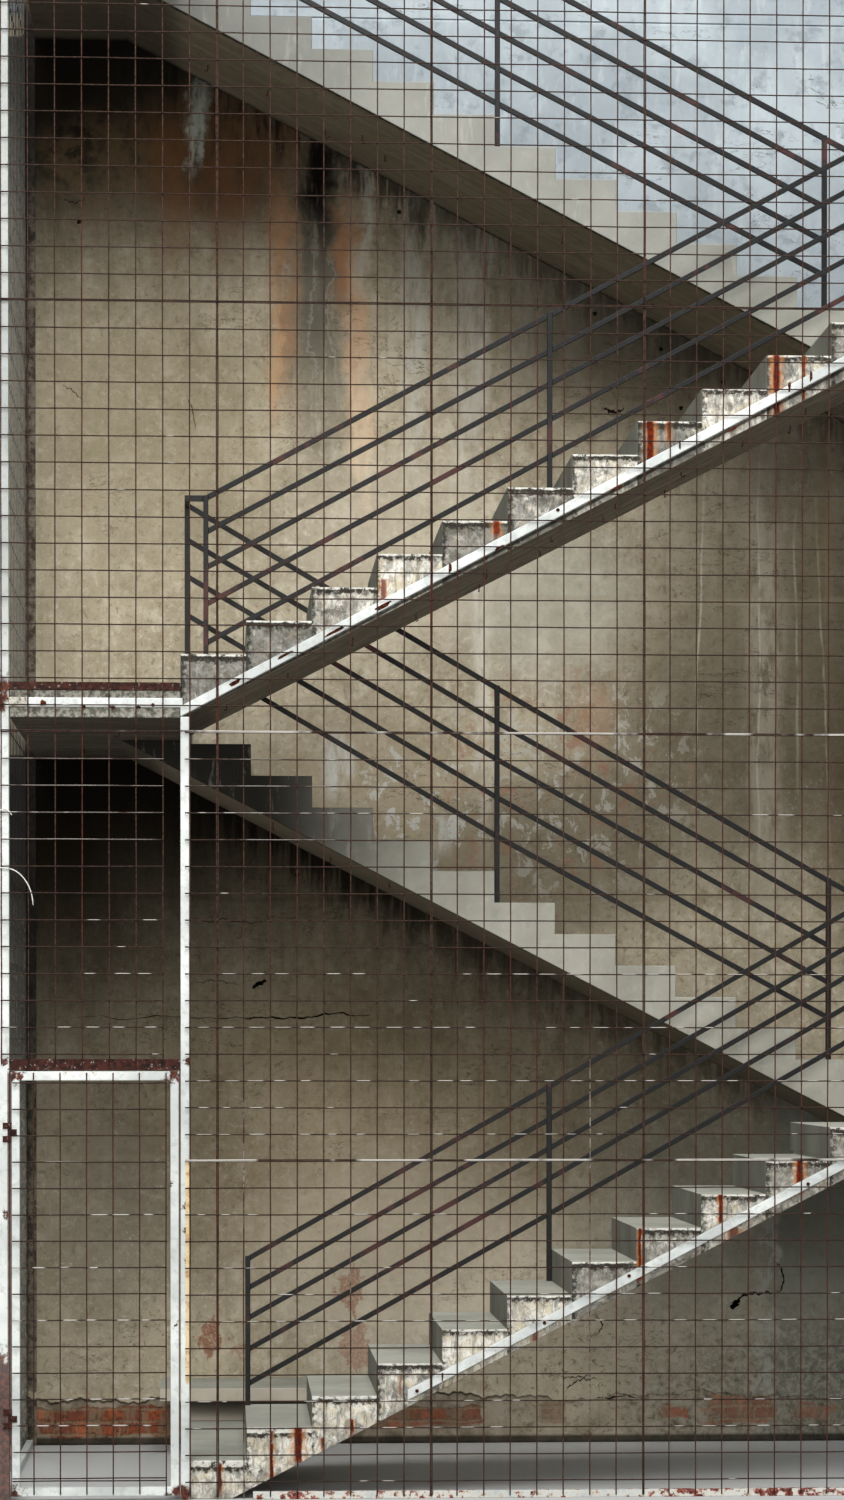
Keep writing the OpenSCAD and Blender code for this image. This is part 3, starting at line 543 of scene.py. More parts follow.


# Cast concrete: smooth grey treads and risers, board-marked undersides in dark colours as painted shade. The
# screen side's faces are washed white with lime in drips, with black mould below each tread's chipped edge, runs
# of rust and a painted shadow below the upper bar.
def concreteMaterial(name, stained, tints=("#8a887c", "#a3a195")):
    p = Paint(name, 0.85, 0.12)
    x, z = p.axis(0), p.axis(2)
    faceX, faceZ = p.facing(0), p.facing(2)
    blotch = p.noise(14.0, 5.0, 0.68)
    broad = p.noise(1.8, 3.0, 0.6)
    grain = p.noise(110.0, 3.0, 0.7)
    top = p.mix(p.smooth(broad, 0.3, 0.7), "#8d8d82", "#a4a497")
    top = p.mix(p.smooth(blotch, 0.5, 0.75, 0.3), top, "#b8b8ab")
    front = p.mix(p.smooth(broad, 0.3, 0.7), "#66665d", "#7b7b71")
    front = p.mix(p.smooth(p.noise(1.0, 4.0, 0.6, (25.0, 25.0, 3.0)), 0.5, 0.3, 0.4), front, "#52534d")
    boards = p.noise(1.0, 3.0, 0.6, (1.2, 16.0, 1.2))
    # Undersides: board marks, in dark browns that paint the shade under the slabs
    below = p.mix(p.smooth(boards, 0.3, 0.7), *(("#5a5245", "#796f60") if stained else ("#625949", "#6f6657")))
    below = p.mix(p.smooth(blotch, 0.5, 0.32, 0.5), below, "#302b22" if stained else "#4b4335")
    below = p.mix(p.within(boards, 0.5, 0.002, 0.01) * (0.9 if stained else 0.25), below, "#2a251d")
    speckle = p.noise(30.0, 5.0, 0.75, shift=3.0)
    y = p.axis(1) + (speckle - 0.5) * 0.12
    # Painted shade: near black along the back flights' front edge and where the undersides meet the wall
    below = p.mix(p.most(p.within(y, 1.2, 0.02, 0.03), p.smooth(y, 2.24, 2.29)) * (0.0 if stained else 0.85),
                  below, "#14110c")
    # Painted shade: darker undersides by the left landings
    below = p.mix(p.smooth(x, 0.3, 0.05) * p.most(p.within(z, 3.58, 0.06, 0.06), p.within(z, 7.28, 0.08, 0.08))
                  * 0.6, below, "#17130d")
    side = p.mix(p.smooth(broad, 0.3, 0.7), *tints)
    side = p.tones(side, (blotch, 0.52, 0.75, 0.35, "#b5b3a8"), (blotch, 0.45, 0.3, 0.25, "#757367"))
    if stained:
        # Depth below the step's own tread and length from its riser, from the step's number
        step = p.calc("MINIMUM", p.calc("MAXIMUM", p.calc("FLOOR", x / going), -1.0), 10.0)
        storey = p.calc("GREATER_THAN", z, 2.7) + p.calc("GREATER_THAN", z, 6.2)
        tread = storey * landMid + (step + 1.0) * riser
        down = tread - z
        along = x - step * going
        place = (step + 1.5) / 12.5
        wash = p.mixValue(p.calc("GREATER_THAN", storey, 0.5),
                          *[p.levels(place, concreteMarks[key]) for key in ("lowWash", "highWash")])
        tear = p.noise(1.0, 5.0, 0.74, (20.0, 20.0, 14.0), 0.5)
        drips = p.noise(1.0, 4.0, 0.65, (38.0, 38.0, 11.0), 0.6, 4.0)
        mottle = p.noise(48.0, 5.0, 0.78)
        side = p.mix(p.smooth(blotch, 0.36, 0.62), "#605d54", "#94918a")
        side = p.mix(p.smooth(tear, 0.46, 0.66, 0.5), side, "#aba8a0")
        side = p.mix(p.smooth(wash, 0.6, 0.1) * p.calc("GREATER_THAN", storey, 0.5) * 0.6, side, "#4f4d47")
        lime = p.smooth(tear * 0.85 + wash * 0.36, 0.56, 0.76, 0.9)
        lime = lime * p.smooth(down + mottle * 0.05, 0.02, 0.07, 1.0)
        side = p.mix(lime, side, p.mix(p.smooth(blotch, 0.42, 0.62), "#dcd9cf", "#c3b89f"))
        side = p.mix(p.smooth(drips, 0.54, 0.7) * 0.35, side, "#98876a")
        dark = p.smooth(drips - wash * 0.12, 0.42, 0.3, 0.5)
        side = p.mix(dark, side, "#48453c")
        side = p.tones(side, (speckle, 0.54, 0.62, 0.4, "#a9a898"), (speckle, 0.46, 0.38, 0.5, "#55534a"))
        edge = p.most(p.smooth(down, 0.06, 0.012), p.smooth(along, 0.05, 0.0) * 0.8)
        mould = p.smooth(mottle + edge * 0.3 - wash * 0.16, 0.52, 0.68)
        side = p.mix(mould * 0.9, side, "#25231d")
        patch = p.smooth(p.noise(4.5, 4.0, 0.65, (1, 1, 1), 0.0, 2.0), 0.52, 0.64)
        side = p.mix(patch * p.smooth(mottle, 0.4, 0.56) * (1.0 - wash * 0.6) * 0.75, side, "#45423a")
        chip = p.smooth(down + (tear - 0.5) * 0.026, 0.012, 0.007) * p.smooth(speckle, 0.4, 0.5)
        side = p.mix(chip * 0.75, side, "#dcd9cf")
        under = p.within(down + (tear - 0.5) * 0.03, 0.02, 0.004, 0.006) * p.smooth(mottle, 0.44, 0.52)
        side = p.mix(under * 0.7, side, "#26231c")
        # Landing fronts: rough light cement above and below the bar, black along the lower edge
        cement = p.mix(p.smooth(mottle, 0.42, 0.58), "#77746a", "#c4c1b5")
        cement = p.mix(p.smooth(tear, 0.46, 0.36, 0.7), cement, "#4a473e")
        cement = p.mix(p.within(z + (speckle - 0.5) * 0.03, landMid - 0.142, 0.004, 0.006) * 0.8, cement,
                       "#1b1813")
        side = p.mix(p.smooth(x, 0.0, -0.006) * 0.9, side, cement)
        rust, halo = [], []
        bent = x + (p.noise(1.0, 4.0, 0.7, (30.0, 30.0, 18.0)) - 0.5) * 0.022
        for middle, half, high, low, strength in concreteMarks["rust"]:
            tall = p.smooth(z, high + 0.01, high - 0.004) * p.smooth(z, low - 0.03, low + 0.03)
            rust.append(p.within(bent, middle, half * 0.35, half * 0.45) * tall * strength)
            halo.append(p.within(bent, middle, half * 0.6, half * 1.2) * tall * strength)
        side = p.mix(p.most(*halo) * p.smooth(mottle, 0.36, 0.56) * 0.7, side, "#b0733a")
        side = p.mix(p.most(*rust), side, p.mix(p.smooth(mottle, 0.45, 0.62), "#4a1408", "#702309"))
        # Painted shadow in the gap below the upper bar
        barShadow = p.within(z - (x * (riser / going + 0.017) + (landMid - 0.1455)), 0.0, 0.004, 0.008)
        side = p.mix(barShadow * p.smooth(x, 0.0, 0.05) * p.calc("GREATER_THAN", z, 2.7) * 0.85, side, "#1a1814")
    else:
        # Deep shade and damp where the back flights pass under the left landings
        near = p.smooth(x, 1.3, 0.35) * p.most(p.within(z, 3.3, 0.45, 0.25), p.within(z, 7.05, 0.45, 0.2) * 0.5)
        side = p.mix(near * 0.96, side, "#0c0a07")
        top = p.mix(near * 0.8, top, "#0f0d09")
        front = p.mix(near * 0.8, front, "#0f0d09")
        # Greyer high up, and the shadow below the shelf at the foot
        side = p.mix(p.smooth(z, 5.3, 6.0, 0.55), side, "#6f716d")
        side = p.mix(p.smooth(p.noise(1.0, 4.0, 0.7, (18.0, 18.0, 4.0)), 0.56, 0.7, 0.2), side, "#b2b0a8")
        side = p.mix(p.smooth(z, 0.12, 0.283) * p.smooth(z, 0.288, 0.284) * 0.93, side, "#100f0d")
    colour = p.mix(p.smooth(faceZ, 0.5, 0.8), side, top)
    colour = p.mix(p.smooth(faceZ, -0.3, -0.6), colour, below)
    colour = p.mix(p.smooth(p.calc("ABSOLUTE", faceX), 0.6, 0.85), colour, front)
    height = blotch * 0.6 + grain * 0.2
    return p.finish(colour, None, height, 0.35, 0.006)


# White gloss paint on steel, chalky, with brown rust blooming at marks and in patches.
# Each seed is a place along X and up, and the size of its bloom; below the height primed the paint is gone,
# and with primed set the white turns grey from 3.2 to 4.2 m up as painted shade under the landing; above the
# height crown the end is painted near black as shade, each bared oval is rough cement, and the right-hand edge
# has yellow rust between each pair of stained heights.
def steelMaterial(name, rustShare, seeds=(), primed=None, tints=("#250e09", "#572413"), seams=(), crown=9.0,
                  bared=(), stained=()):
    p = Paint(name, 0.5, 0.35)
    x, z = p.axis(0), p.axis(2)
    fine = p.noise(26.0, 5.0, 0.72)
    broad = p.noise(2.2, 4.0, 0.65)
    white = p.mix(p.smooth(broad, 0.35, 0.65), "#abafac", "#cdd0cc")
    white = p.mix(p.smooth(fine, 0.5, 0.36, 0.4), white, "#8d8f89")
    level = fine * 0.6 + broad * 0.4
    rust = p.smooth(level, 0.66 - rustShare, 0.70 - rustShare)
    ragged = (fine - 0.5) * 0.16
    for sx, sz, size in seeds:
        dx = x - sx
        dz = z - sz
        far = p.calc("SQRT", dx * dx + dz * dz) + ragged
        rust = p.most(rust, p.smooth(far, size, size * 0.45))
    if primed:
        rust = p.most(rust, p.smooth(z + ragged * 2.0, primed + 0.04, primed - 0.02, 0.92))
        # Painted shade: grey white from 3.2 m up, where the landing shades the posts
        white = p.mix(p.smooth(z, 3.2, 4.2, 0.6), white, "#6a6c68")
    for middle, half in seams:
        rust = p.most(rust, p.within(x, middle, half, 0.003) * p.smooth(z, 1.97, 1.95) * 0.9)
    halo = p.smooth(level, 0.60 - rustShare, 0.66 - rustShare, 0.45)
    white = p.mix(halo, white, "#b6a184")
    tint = p.mix(p.smooth(p.noise(55.0, 4.0, 0.7), 0.42, 0.6), *tints)
    colour = p.mix(rust, white, tint)
    # Painted shade: near black above crown, at the top of the gate post
    colour = p.mix(p.smooth(z, crown, crown + 0.006, 0.95), colour, "#16100c")
    for bx, bz, rx, rz in bared:
        patch = p.smooth(p.pool(x, z, bx, bz, rx, rz) + ragged * 3.0, 0.15, 0.4)
        colour = p.mix(patch, colour, p.mix(p.smooth(fine, 0.42, 0.58), "#4f4b41", "#aaa698"))
    for low, high in stained:
        stain = (p.within(z, (low + high) / 2, (high - low) / 2, 0.03)
                 * p.smooth(x + ragged * 0.06, 0.020, 0.024) * 0.85)
        colour = p.mix(stain, colour, p.mix(p.smooth(fine, 0.5, 0.62), "#cdb583", "#a4702c"))
    rough = rust * 0.4 + 0.42
    return p.finish(colour, rough, fine * 0.5 - rust * 0.5, 0.3, 0.002)


# Red-brown primer gone to rust, with specks of white paint run over it.
def primerMaterial():
    p = Paint("redBrownPrimer", 0.85)
    fine = p.noise(34.0, 5.0, 0.72)
    broad = p.noise(5.0, 4.0, 0.6)
    colour = p.mix(p.smooth(fine, 0.38, 0.62), "#1a0d0a", "#401f17")
    colour = p.mix(p.smooth(broad, 0.58, 0.68, 0.5), colour, "#553329")
    colour = p.mix(p.smooth(p.noise(60.0, 4.0, 0.7), 0.60, 0.66, 0.7), colour, "#a99c8f")
    return p.finish(colour, None, fine, 0.4, 0.002)


# Charcoal paint on square tube, lighter on top with dust and a painted reflection of the sky, worn to red primer
# along a few stretches.
def railMaterial():
    p = Paint("charcoalPaint", 0.55, 0.25)
    fine = p.noise(34.0, 4.0, 0.7)
    broad = p.noise(2.4, 3.0, 0.6)
    colour = p.mix(p.smooth(broad, 0.3, 0.7), "#060606", "#0e0e0d")
    # Lighter on the upward faces: dust, and a painted reflection of the sky
    colour = p.mix(p.smooth(p.facing(2), 0.4, 0.9, 0.5), colour, "#2c2c2b")
    worn = p.smooth(fine * 0.3 + broad * 0.7, 0.56, 0.62)
    colour = p.mix(worn * 0.75, colour, "#46221e")
    nick = p.smooth(p.noise(90.0, 4.0, 0.7), 0.68, 0.72, 0.6)
    colour = p.mix(nick * 0.7, colour, "#8d8f90")
    return p.finish(colour, fine * 0.25 + 0.38, fine, 0.2, 0.0015)


# Rusted welded wire. Level wires keep thin dashes of white paint on top, most by the gateway and along
# the sheets' joints; a few uprights keep long runs of it.
def wireMaterial(level):
    p = Paint("rustedWire" + ("Level" if level else "Upright"), 0.8)
    x, z = p.axis(0), p.axis(2)
    fine = p.noise(60.0, 4.0, 0.7)
    colour = p.mix(p.smooth(fine, 0.35, 0.65), *(("#1a100b", "#38251a") if level else ("#21150f", "#442d21")))
    if level:
        cell = p.calc("FLOOR", (x - firstWire) / pitch)
        row = p.calc("ROUND", (z - meshFoot) / pitch)
        place = p.value("ShaderNodeCombineXYZ", [(0, cell), (1, row), (2, 3.0)])
        chance, scatter = p.values("ShaderNodeTexWhiteNoise", [("Vector", place)], noise_dimensions="3D")
        longer, later, _ = p.values("ShaderNodeSeparateXYZ", [(0, scatter)])
        inside = p.calc("FRACT", (x - firstWire) / pitch)
        near = p.smooth(x, 1.25, 0.2) * p.smooth(x, -0.62, -0.5) * p.smooth(z, 1.62, 1.75) * p.smooth(z, 3.4, 2.9)
        reach = longer * 0.4 + 0.4
        begin = later * 0.3
        past = inside - begin
        dash = p.smooth(past, 0.0, 0.14) * p.smooth(reach - past, 0.0, 0.18)
        raised = (p.calc("FRACT", (z - meshFoot) / pitch + 0.5) - 0.5) * pitch
        rowChance = p.value("ShaderNodeTexWhiteNoise", [("W", row)], noise_dimensions="1D")
        stretch = p.noise(1.0, 2.0, 0.5, (0.9, 0.9, 4.0), 0.0, 13.0)
        picked = p.smooth(rowChance * 0.5 + (stretch + near * 0.12), 0.82, 0.92, 0.85)
        share = p.smooth(z, 3.6, 3.3) * picked + 0.02
        paint = p.calc("LESS_THAN", chance, share) * dash * 0.55
        film = (p.within(z, 3.2, 0.24, 0.06) * p.smooth(x, 1.3, 0.5)
                * p.smooth(p.noise(1.0, 3.0, 0.6, (5.0, 5.0, 2.0), 0.0, 4.0), 0.42, 0.6, 0.26))
        paint = p.most(paint, film)
        along = p.smooth(p.noise(1.0, 3.0, 0.6, (3.2, 3.2, 0.3), 0.0, 9.0), 0.45, 0.53, 0.6)
        for height, start in ((joints[0], -1.0), (joints[1], -0.35)):
            paint = p.most(paint, p.within(z, height, 0.01, 0.02) * p.smooth(x, start, start + 0.25) * along)
        colour = p.mix(paint * p.smooth(raised, -0.0002, 0.0010), colour, "#d3cfc6")
    else:
        column = p.calc("ROUND", (x - firstWire) / pitch)
        chance = p.value("ShaderNodeTexWhiteNoise", [("W", column)], noise_dimensions="1D")
        paint = (p.calc("GREATER_THAN", chance, 0.86)
                 * p.smooth(p.noise(1.0, 3.0, 0.6, (2.0, 2.0, 1.6), 0.0, 6.0), 0.5, 0.56) * p.smooth(z, 2.4, 1.6))
        colour = p.mix(paint * p.smooth(fine, 0.4, 0.52) * 0.55, colour, "#a9a396")
        red = p.most(p.smooth(p.noise(1.0, 3.0, 0.6, (1.5, 1.5, 0.9), 0.0, 8.0), 0.5, 0.65, 0.5),
                     p.within(chance, 0.3, 0.12, 0.01) * p.smooth(fine, 0.35, 0.5) * 0.5)
        colour = p.mix(red * (1.0 - p.smooth(z, 5.2, 6.8, 0.7)), colour, "#4a1c12")
    return p.finish(colour, None, fine, 0.3, 0.001)


# The side screens' wires: rust under a worn coat of dull grey paint, with painted shade under the left landings.
def sideWireMaterial():
    p = Paint("greyedWire", 0.7)
    x, z = p.axis(0), p.axis(2)
    fine = p.noise(40.0, 4.0, 0.7)
    colour = p.mix(p.smooth(fine, 0.35, 0.6), "#4a4842", "#625f57")
    left = p.smooth(x, 0.5, 0.0)
    # Painted shade: near black under the left landings
    shadeAndSoot = p.most(p.smooth(z, 2.4, 3.2) * p.smooth(z, 3.68, 3.6),
                  p.smooth(z, 5.9, 7.3) * p.smooth(z, 7.5, 7.42) * 0.8)
    colour = p.mix(shadeAndSoot * left * 0.95, colour, "#060504")
    colour = p.mix(p.smooth(fine, 0.55, 0.63, 0.6) * p.smooth(z, 3.2, 2.4), colour, "#8f8d85")
    # Painted shade: darker at the left from 1.5 m up to the middle landing
    colour = p.mix(left * p.smooth(z, 1.5, 2.2) * p.smooth(z, 3.7, 3.6) * 0.65, colour, "#1e1c19")
    return p.finish(colour, None, fine, 0.3, 0.001)


# The angles on the wall: thin grey-brown paint, rusted through, with painted shade under the left landings.
def dullSteelMaterial():
    p = Paint("dullAnglePaint", 0.8)
    fine = p.noise(22.0, 5.0, 0.7)
    colour = p.mix(p.smooth(fine, 0.38, 0.62), "#332b23", "#6b6355")
    left, up = p.smooth(p.axis(0), 0.5, 0.0), p.axis(2)
    # Painted shade: near black under the left landings
    shadeAndSoot = p.most(p.smooth(up, 1.2, 2.6) * p.smooth(up, 3.68, 3.6),
                  p.smooth(up, 5.9, 6.8) * p.smooth(up, 7.5, 7.42))
    return p.finish(p.mix(shadeAndSoot * left * 0.92, colour, "#070604"), None, fine, 0.3, 0.001)


wallPaint = wallMaterial()
frontConcrete = concreteMaterial("stainedConcrete", True)
plainConcrete = concreteMaterial("smoothConcrete", False)
shelfConcrete = concreteMaterial("shelfConcrete", False, ("#a09786", "#bbb2a2"))
whiteSteel = steelMaterial("whitePaintedSteel", 0.0, bared=[(-0.8, 3.644, 0.13, 0.12)])
baseSteel = steelMaterial("flakingBasePaint", 0.14, (), None, ("#43170f", "#8a463a"))
postSteel = steelMaterial("whitePostPaint", -0.02,
                          [(-0.815, 3.72, 0.06), (-0.82, 3.65, 0.06), (-0.8, 1.3, 0.02), (-0.8, 2.0, 0.02)], 0.66,
                          ("#2b110a", "#5a2a18"), [(-0.781, 0.006)])
gatePostSteel = steelMaterial("whiteGatePostPaint", -0.02,
                              [(0.02, 0.02, 0.06), (0.036, 1.35, 0.025), (0.036, 1.22, 0.025), (0.036, 1.1, 0.02),
                               (0.03, 0.55, 0.015), (0.034, 2.0, 0.02)], crown=3.585, stained=[(0.55, 1.545)])
gateSteel = steelMaterial("whiteGatePaint", 0.0,
                          [(-0.75, 1.95, 0.04), (-0.03, 1.95, 0.045), (-0.02, 0.03, 0.05), (-0.76, 0.03, 0.05),
                           (-0.05, 1.45, 0.015), (-0.02, 0.8, 0.015)], seams=[(-0.777, 0.007), (-0.004, 0.004)])
primer = primerMaterial()
railPaint = railMaterial()
levelWire = wireMaterial(True)
uprightWire = wireMaterial(False)
sideWire = sideWireMaterial()
dullSteel = dullSteelMaterial()
print("stage: materials")

materialOf = {
    "wall_render": wallPaint, "front_concrete": frontConcrete, "concrete": plainConcrete,
    "railing_paint": railPaint, "white_steel": whiteSteel, "rusty_angle": primer, "mesh_wire": uprightWire}
slotOf = {part["node"]: part["material_slot"] for part in frame["record"]["subparts"]}
special = {
    "corner_post_left": postSteel, "corner_post_right": postSteel, "gate_post": gatePostSteel,
    "gate_frame": gateSteel, "base_channel": baseSteel, "wall_shelf": shelfConcrete, "wall_post_left": dullSteel,
    "wall_post_right": dullSteel, "landing_low": frontConcrete, "landing_mid": frontConcrete,
    "landing_high": frontConcrete}
bevels = {
    "front_concrete": 0.006, "concrete": 0.005, "railing_paint": 0.003, "white_steel": 0.003,
    "rusty_angle": 0.0015, "wall_render": 0.012, "weld": 0.0002, "angle": 40}
for node, thing in frame["nodes"].items():
    material = special.get(node, materialOf[slotOf[node]])
    thing.data.materials.clear()
    thing.data.materials.append(material)
    width = bevels.get(slotOf[node])
    if width and "mesh" not in node:
        weld = thing.modifiers.new("weld", "WELD")
        weld.merge_threshold = bevels["weld"]
        bevel = thing.modifiers.new("bevel", "BEVEL")
        bevel.width = width
        bevel.segments = 2
        bevel.limit_method = "ANGLE"
        bevel.angle_limit = math.radians(bevels["angle"])
        bevel.harden_normals = False
print("stage: CAD nodes finished")


# Points wandering by a slow sum of two sines along their own place, up to size.
# Wires: bead radius and flatness, and how far uprights and level wires wander
frontWires = {"bead": 0.0052, "flat": 0.75, "wanderUp": 0.0008, "wanderLevel": 0.0009}


def wavy(points, seed, size):
    t = points[..., 0] * 3.1 + points[..., 2] * 2.3 + points[..., 1] * 2.7
    turn = np.arange(points.shape[0])[:, None] * 2.399 + seed
    return size * (0.6 * np.sin(t * 1.9 + turn) + 0.4 * np.sin(t * 4.7 + turn * 1.7))


# Welded mesh of one node: uprights at xs from foot to top, level wires in front of them at zs from start
# to the last upright, a bead at each crossing. Each wire is a round bar that wanders by a millimetre.
def sheetPiece(name, xs, zs, start, foot, top):
    xs, zs = np.array(xs), np.array(zs)
    upSteps = max(3, int((top - foot) / (pitch / 2)) + 1)
    heights = np.linspace(foot, top, upSteps)
    up = np.stack(np.broadcast_arrays(xs[:, None], barFace - wire / 2, heights[None, :]), -1)
    up[..., 0] += wavy(up, 1.0, frontWires["wanderUp"])
    end = xs.max() + wire / 2
    acrossSteps = max(3, int((end - start) / (pitch / 2)) + 1)
    places = np.linspace(start, end, acrossSteps)
    level = np.stack(np.broadcast_arrays(places[None, :], barFace - 1.5 * wire, zs[:, None]), -1)
    level[..., 2] += wavy(level, 4.0, frontWires["wanderLevel"])
    beadX, beadZ = np.meshgrid(xs[xs > start - 0.002], zs)
    beads = np.stack([beadX.ravel(), np.full(beadX.size, barFace - wire * 0.95), beadZ.ravel()], -1)
    vertices, faces, counts = joined(tubes(at(up), wire / 2), tubes(at(level), wire / 2),
                                     pips(at(beads), frontWires["bead"], frontWires["flat"]))
    picks = np.repeat([0, 1, 0], counts)
    return addPiece(name, vertices, faces, [uprightWire, levelWire],
                    "gate" if name.startswith("gate") else "stair", "mesh_wire", [name.replace("_wires", "")],
                    True, picks)


# Heights or places at even pitch; a later sheet starts one wire further on.
def rows(first, count, later=False):
    values = first + np.arange(count + 1) * pitch
    if later:
        values[0] += wire
    return values


halfWire = wire / 2
leftWires = np.append(colTwo - np.arange(17) * pitch, firstWire + pitch + wire)
overWires = firstWire - np.arange(1, 8) * pitch
twoSheets = np.append(rows(colTwo, 16, True), colTwo + 8 * pitch + wire)
lastCols = rows(colThree, 11, True)
sheets = {
    "mesh_a1": (
        np.append(rows(firstWire, 9), firstWire + pitch + wire), np.append(rows(meshFoot, 28), joints[0] + wire),
        0.02),
    "mesh_a2": (overWires, np.array([joints[0] + i * pitch for i in range(4, 17)]), overWires.min() - halfWire),
    "mesh_a3": (leftWires, rows(joints[1], 16, True), leftWires.min() - halfWire),
    "mesh_a4": (leftWires, rows(joints[2], 16, True), leftWires.min() - halfWire),
    "mesh_a5": (leftWires, rows(joints[3], 8, True), leftWires.min() - halfWire),
    "mesh_b1": (twoSheets, rows(meshFoot, 12), colTwo + halfWire),
    "mesh_b2": (twoSheets, rows(joints[0], 16, True), colTwo + halfWire),
    "mesh_b3": (twoSheets, rows(joints[1], 16, True), colTwo + halfWire),
    "mesh_b4": (twoSheets, rows(joints[2], 16, True), colTwo + halfWire),
    "mesh_b5": (twoSheets, rows(joints[3], 8, True), colTwo + halfWire),
    "mesh_c1": (lastCols, np.append(rows(meshFoot, 28), joints[0] + wire), colThree + halfWire),
    "mesh_c2": (lastCols, np.append(rows(joints[1], 32, True), joints[2] + wire), colThree + halfWire),
    "mesh_c3": (lastCols, rows(joints[3], 8, True), colThree + halfWire)}
for node, (xs, zs, start) in sheets.items():
    low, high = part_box(node)
    sheetPiece(node + "_wires", xs, zs, start, low[2], high[2])
gateSheet = {"top": 1.911, "rows": 16, "right": -0.067, "columns": 6, "pitch": 0.1205, "foot": 0.012}
gateRows = gateSheet["top"] - np.arange(gateSheet["rows"]) * gateSheet["pitch"]
gateColumns = gateSheet["right"] - np.arange(gateSheet["columns"]) * gateSheet["pitch"]
low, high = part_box("gate_mesh")
sheetPiece("gate_mesh_wires", gateColumns, np.append(gateRows, gateRows.min() - gateSheet["foot"]),
           low[0] + originX, low[2], high[2])
print("stage: front mesh")


sideScreen = {"first": 0.010, "uprights": 19, "last": 0.02, "rows": 15, "step": 68 * pitch / 45, "bead": 0.0048,
              "wanderUp": 0.0008, "wanderLevel": 0.0009}


# A third of a side screen: uprights on the posts' outer face and level wires outside them, as round bars.
def sideSheet(name, part, side):
    low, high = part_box(name)
    a = outLeft if side < 0 else outRight
    ys = np.append(sideScreen["first"] + np.arange(sideScreen["uprights"]) * pitch, depth - sideScreen["last"])
    step, count = sideScreen["step"], sideScreen["rows"]
    zs = meshFoot + part * count * step + np.arange(count + 1) * step
    if part:
        zs[0] += wire
    heights = np.linspace(low[2], high[2], 46)
    up = np.stack(np.broadcast_arrays(a + side * wire / 2, ys[:, None], heights[None, :]), -1)
    up[..., 1] += wavy(up, 2.0, sideScreen["wanderUp"])
    places = np.linspace(-sideScreen["first"], depth, 38)
    level = np.stack(np.broadcast_arrays(a + side * wire * 1.5, places[None, :], zs[:, None]), -1)
    level[..., 2] += wavy(level, 5.0, sideScreen["wanderLevel"])
    beadY, beadZ = np.meshgrid(ys, zs)
    beads = np.stack([np.full(beadY.size, a + side * wire * 0.95), beadY.ravel(), beadZ.ravel()], -1)
    vertices, faces, _ = joined(tubes(at(up), wire / 2), tubes(at(level), wire / 2),
                                pips(at(beads), sideScreen["bead"]))
    return addPiece(name + "_wires", vertices, faces, [sideWire], "stair", "mesh_wire", [name], True)


for part in range(3):
    sideSheet("side_mesh_l%d" % (part + 1), part, -1)
    sideSheet("side_mesh_r%d" % (part + 1), part, 1)
print("stage: side mesh")


# Bolt heads: each profile point (radius, depth) gives a ring round a line along Y through the centre,
# and the last ring is capped.
def turned(centres, profile, sides=10):
    centres = np.asarray(centres, dtype=float)
    radius, reach = np.array(profile).T
    turn = np.arange(sides) / sides * 2 * np.pi
    ring = np.stack(np.broadcast_arrays(radius[:, None] * np.cos(turn), -reach[:, None],
                                        radius[:, None] * np.sin(turn)), -1)
    vertices = (centres[:, None, None] + ring[None]).reshape(-1, 3)
    count, rings = len(centres), len(profile)
    head, level, side = np.meshgrid(np.arange(count), np.arange(rings - 1), np.arange(sides), indexing="ij")
    start = (head * rings + level) * sides
    after = (side + 1) % sides
    faces = np.stack([start + side, start + after, start + sides + after, start + sides + side], -1).reshape(-1,
            4)
    caps = (np.arange(count)[:, None] * rings + rings - 1) * sides + np.arange(sides)
    return vertices, faces.tolist() + caps.tolist()


# Ragged flat scabs and lugs: each place is (x, y, z, half length, half height, slope). The outline is a
# rounded box whose radius wavers by a fifth, stepped forward from y by the thickness and narrowed there.
def flakes(places, thick, points=16):
    places = np.asarray(places, dtype=float)
    turn = (np.arange(points) + 0.5) / points * 2 * np.pi
    number = np.arange(len(places))[:, None]
    waver = 1 + 0.13 * np.sin(3 * turn[None] + number * 2.1) + 0.08 * np.sin(5 * turn[None] + number * 4.3)
    box = np.abs(np.cos(turn)) ** 4 + np.abs(np.sin(turn)) ** 4
    along = places[:, 3:4] * np.cos(turn) * box ** -0.25 * waver
    upward = places[:, 4:5] * np.sin(turn) * box ** -0.25 * waver
    layers = []
    for share, forward in ((1.0, 0.0), (1.0, thick * 0.6), (0.82, thick)):
        layers.append(np.stack(np.broadcast_arrays(places[:, 0:1] + share * along, places[:, 1:2] - forward,
                      places[:, 2:3] + share * (upward + along * places[:, 5:6])), -1))
    vertices = np.stack(layers, 1).reshape(-1, 3)
    count = len(places)
    piece, level, side = np.meshgrid(np.arange(count), np.arange(2), np.arange(points), indexing="ij")
    start = (piece * 3 + level) * points
    after = (side + 1) % points
    faces = np.stack([start + side, start + after, start + points + after, start + points + side], -1).reshape(-1,
            4)
    caps = (np.arange(count)[:, None] * 3 + 2) * points + np.arange(points)
    return vertices, faces.tolist() + caps.tolist()


# Plain small materials
rustPaint = Paint("deepRust", 0.9, 0.1)
rustNoise = rustPaint.noise(60.0, 4.0, 0.7)
scabRust = rustPaint.finish(rustPaint.mix(rustPaint.smooth(rustNoise, 0.4, 0.6), "#1d0c07", "#54230f"), None,
                            rustNoise, 0.5, 0.002)
tiePaint = Paint("whiteNylon", 0.5, 0.4)
whiteNylon = tiePaint.finish("#c9c9c1")

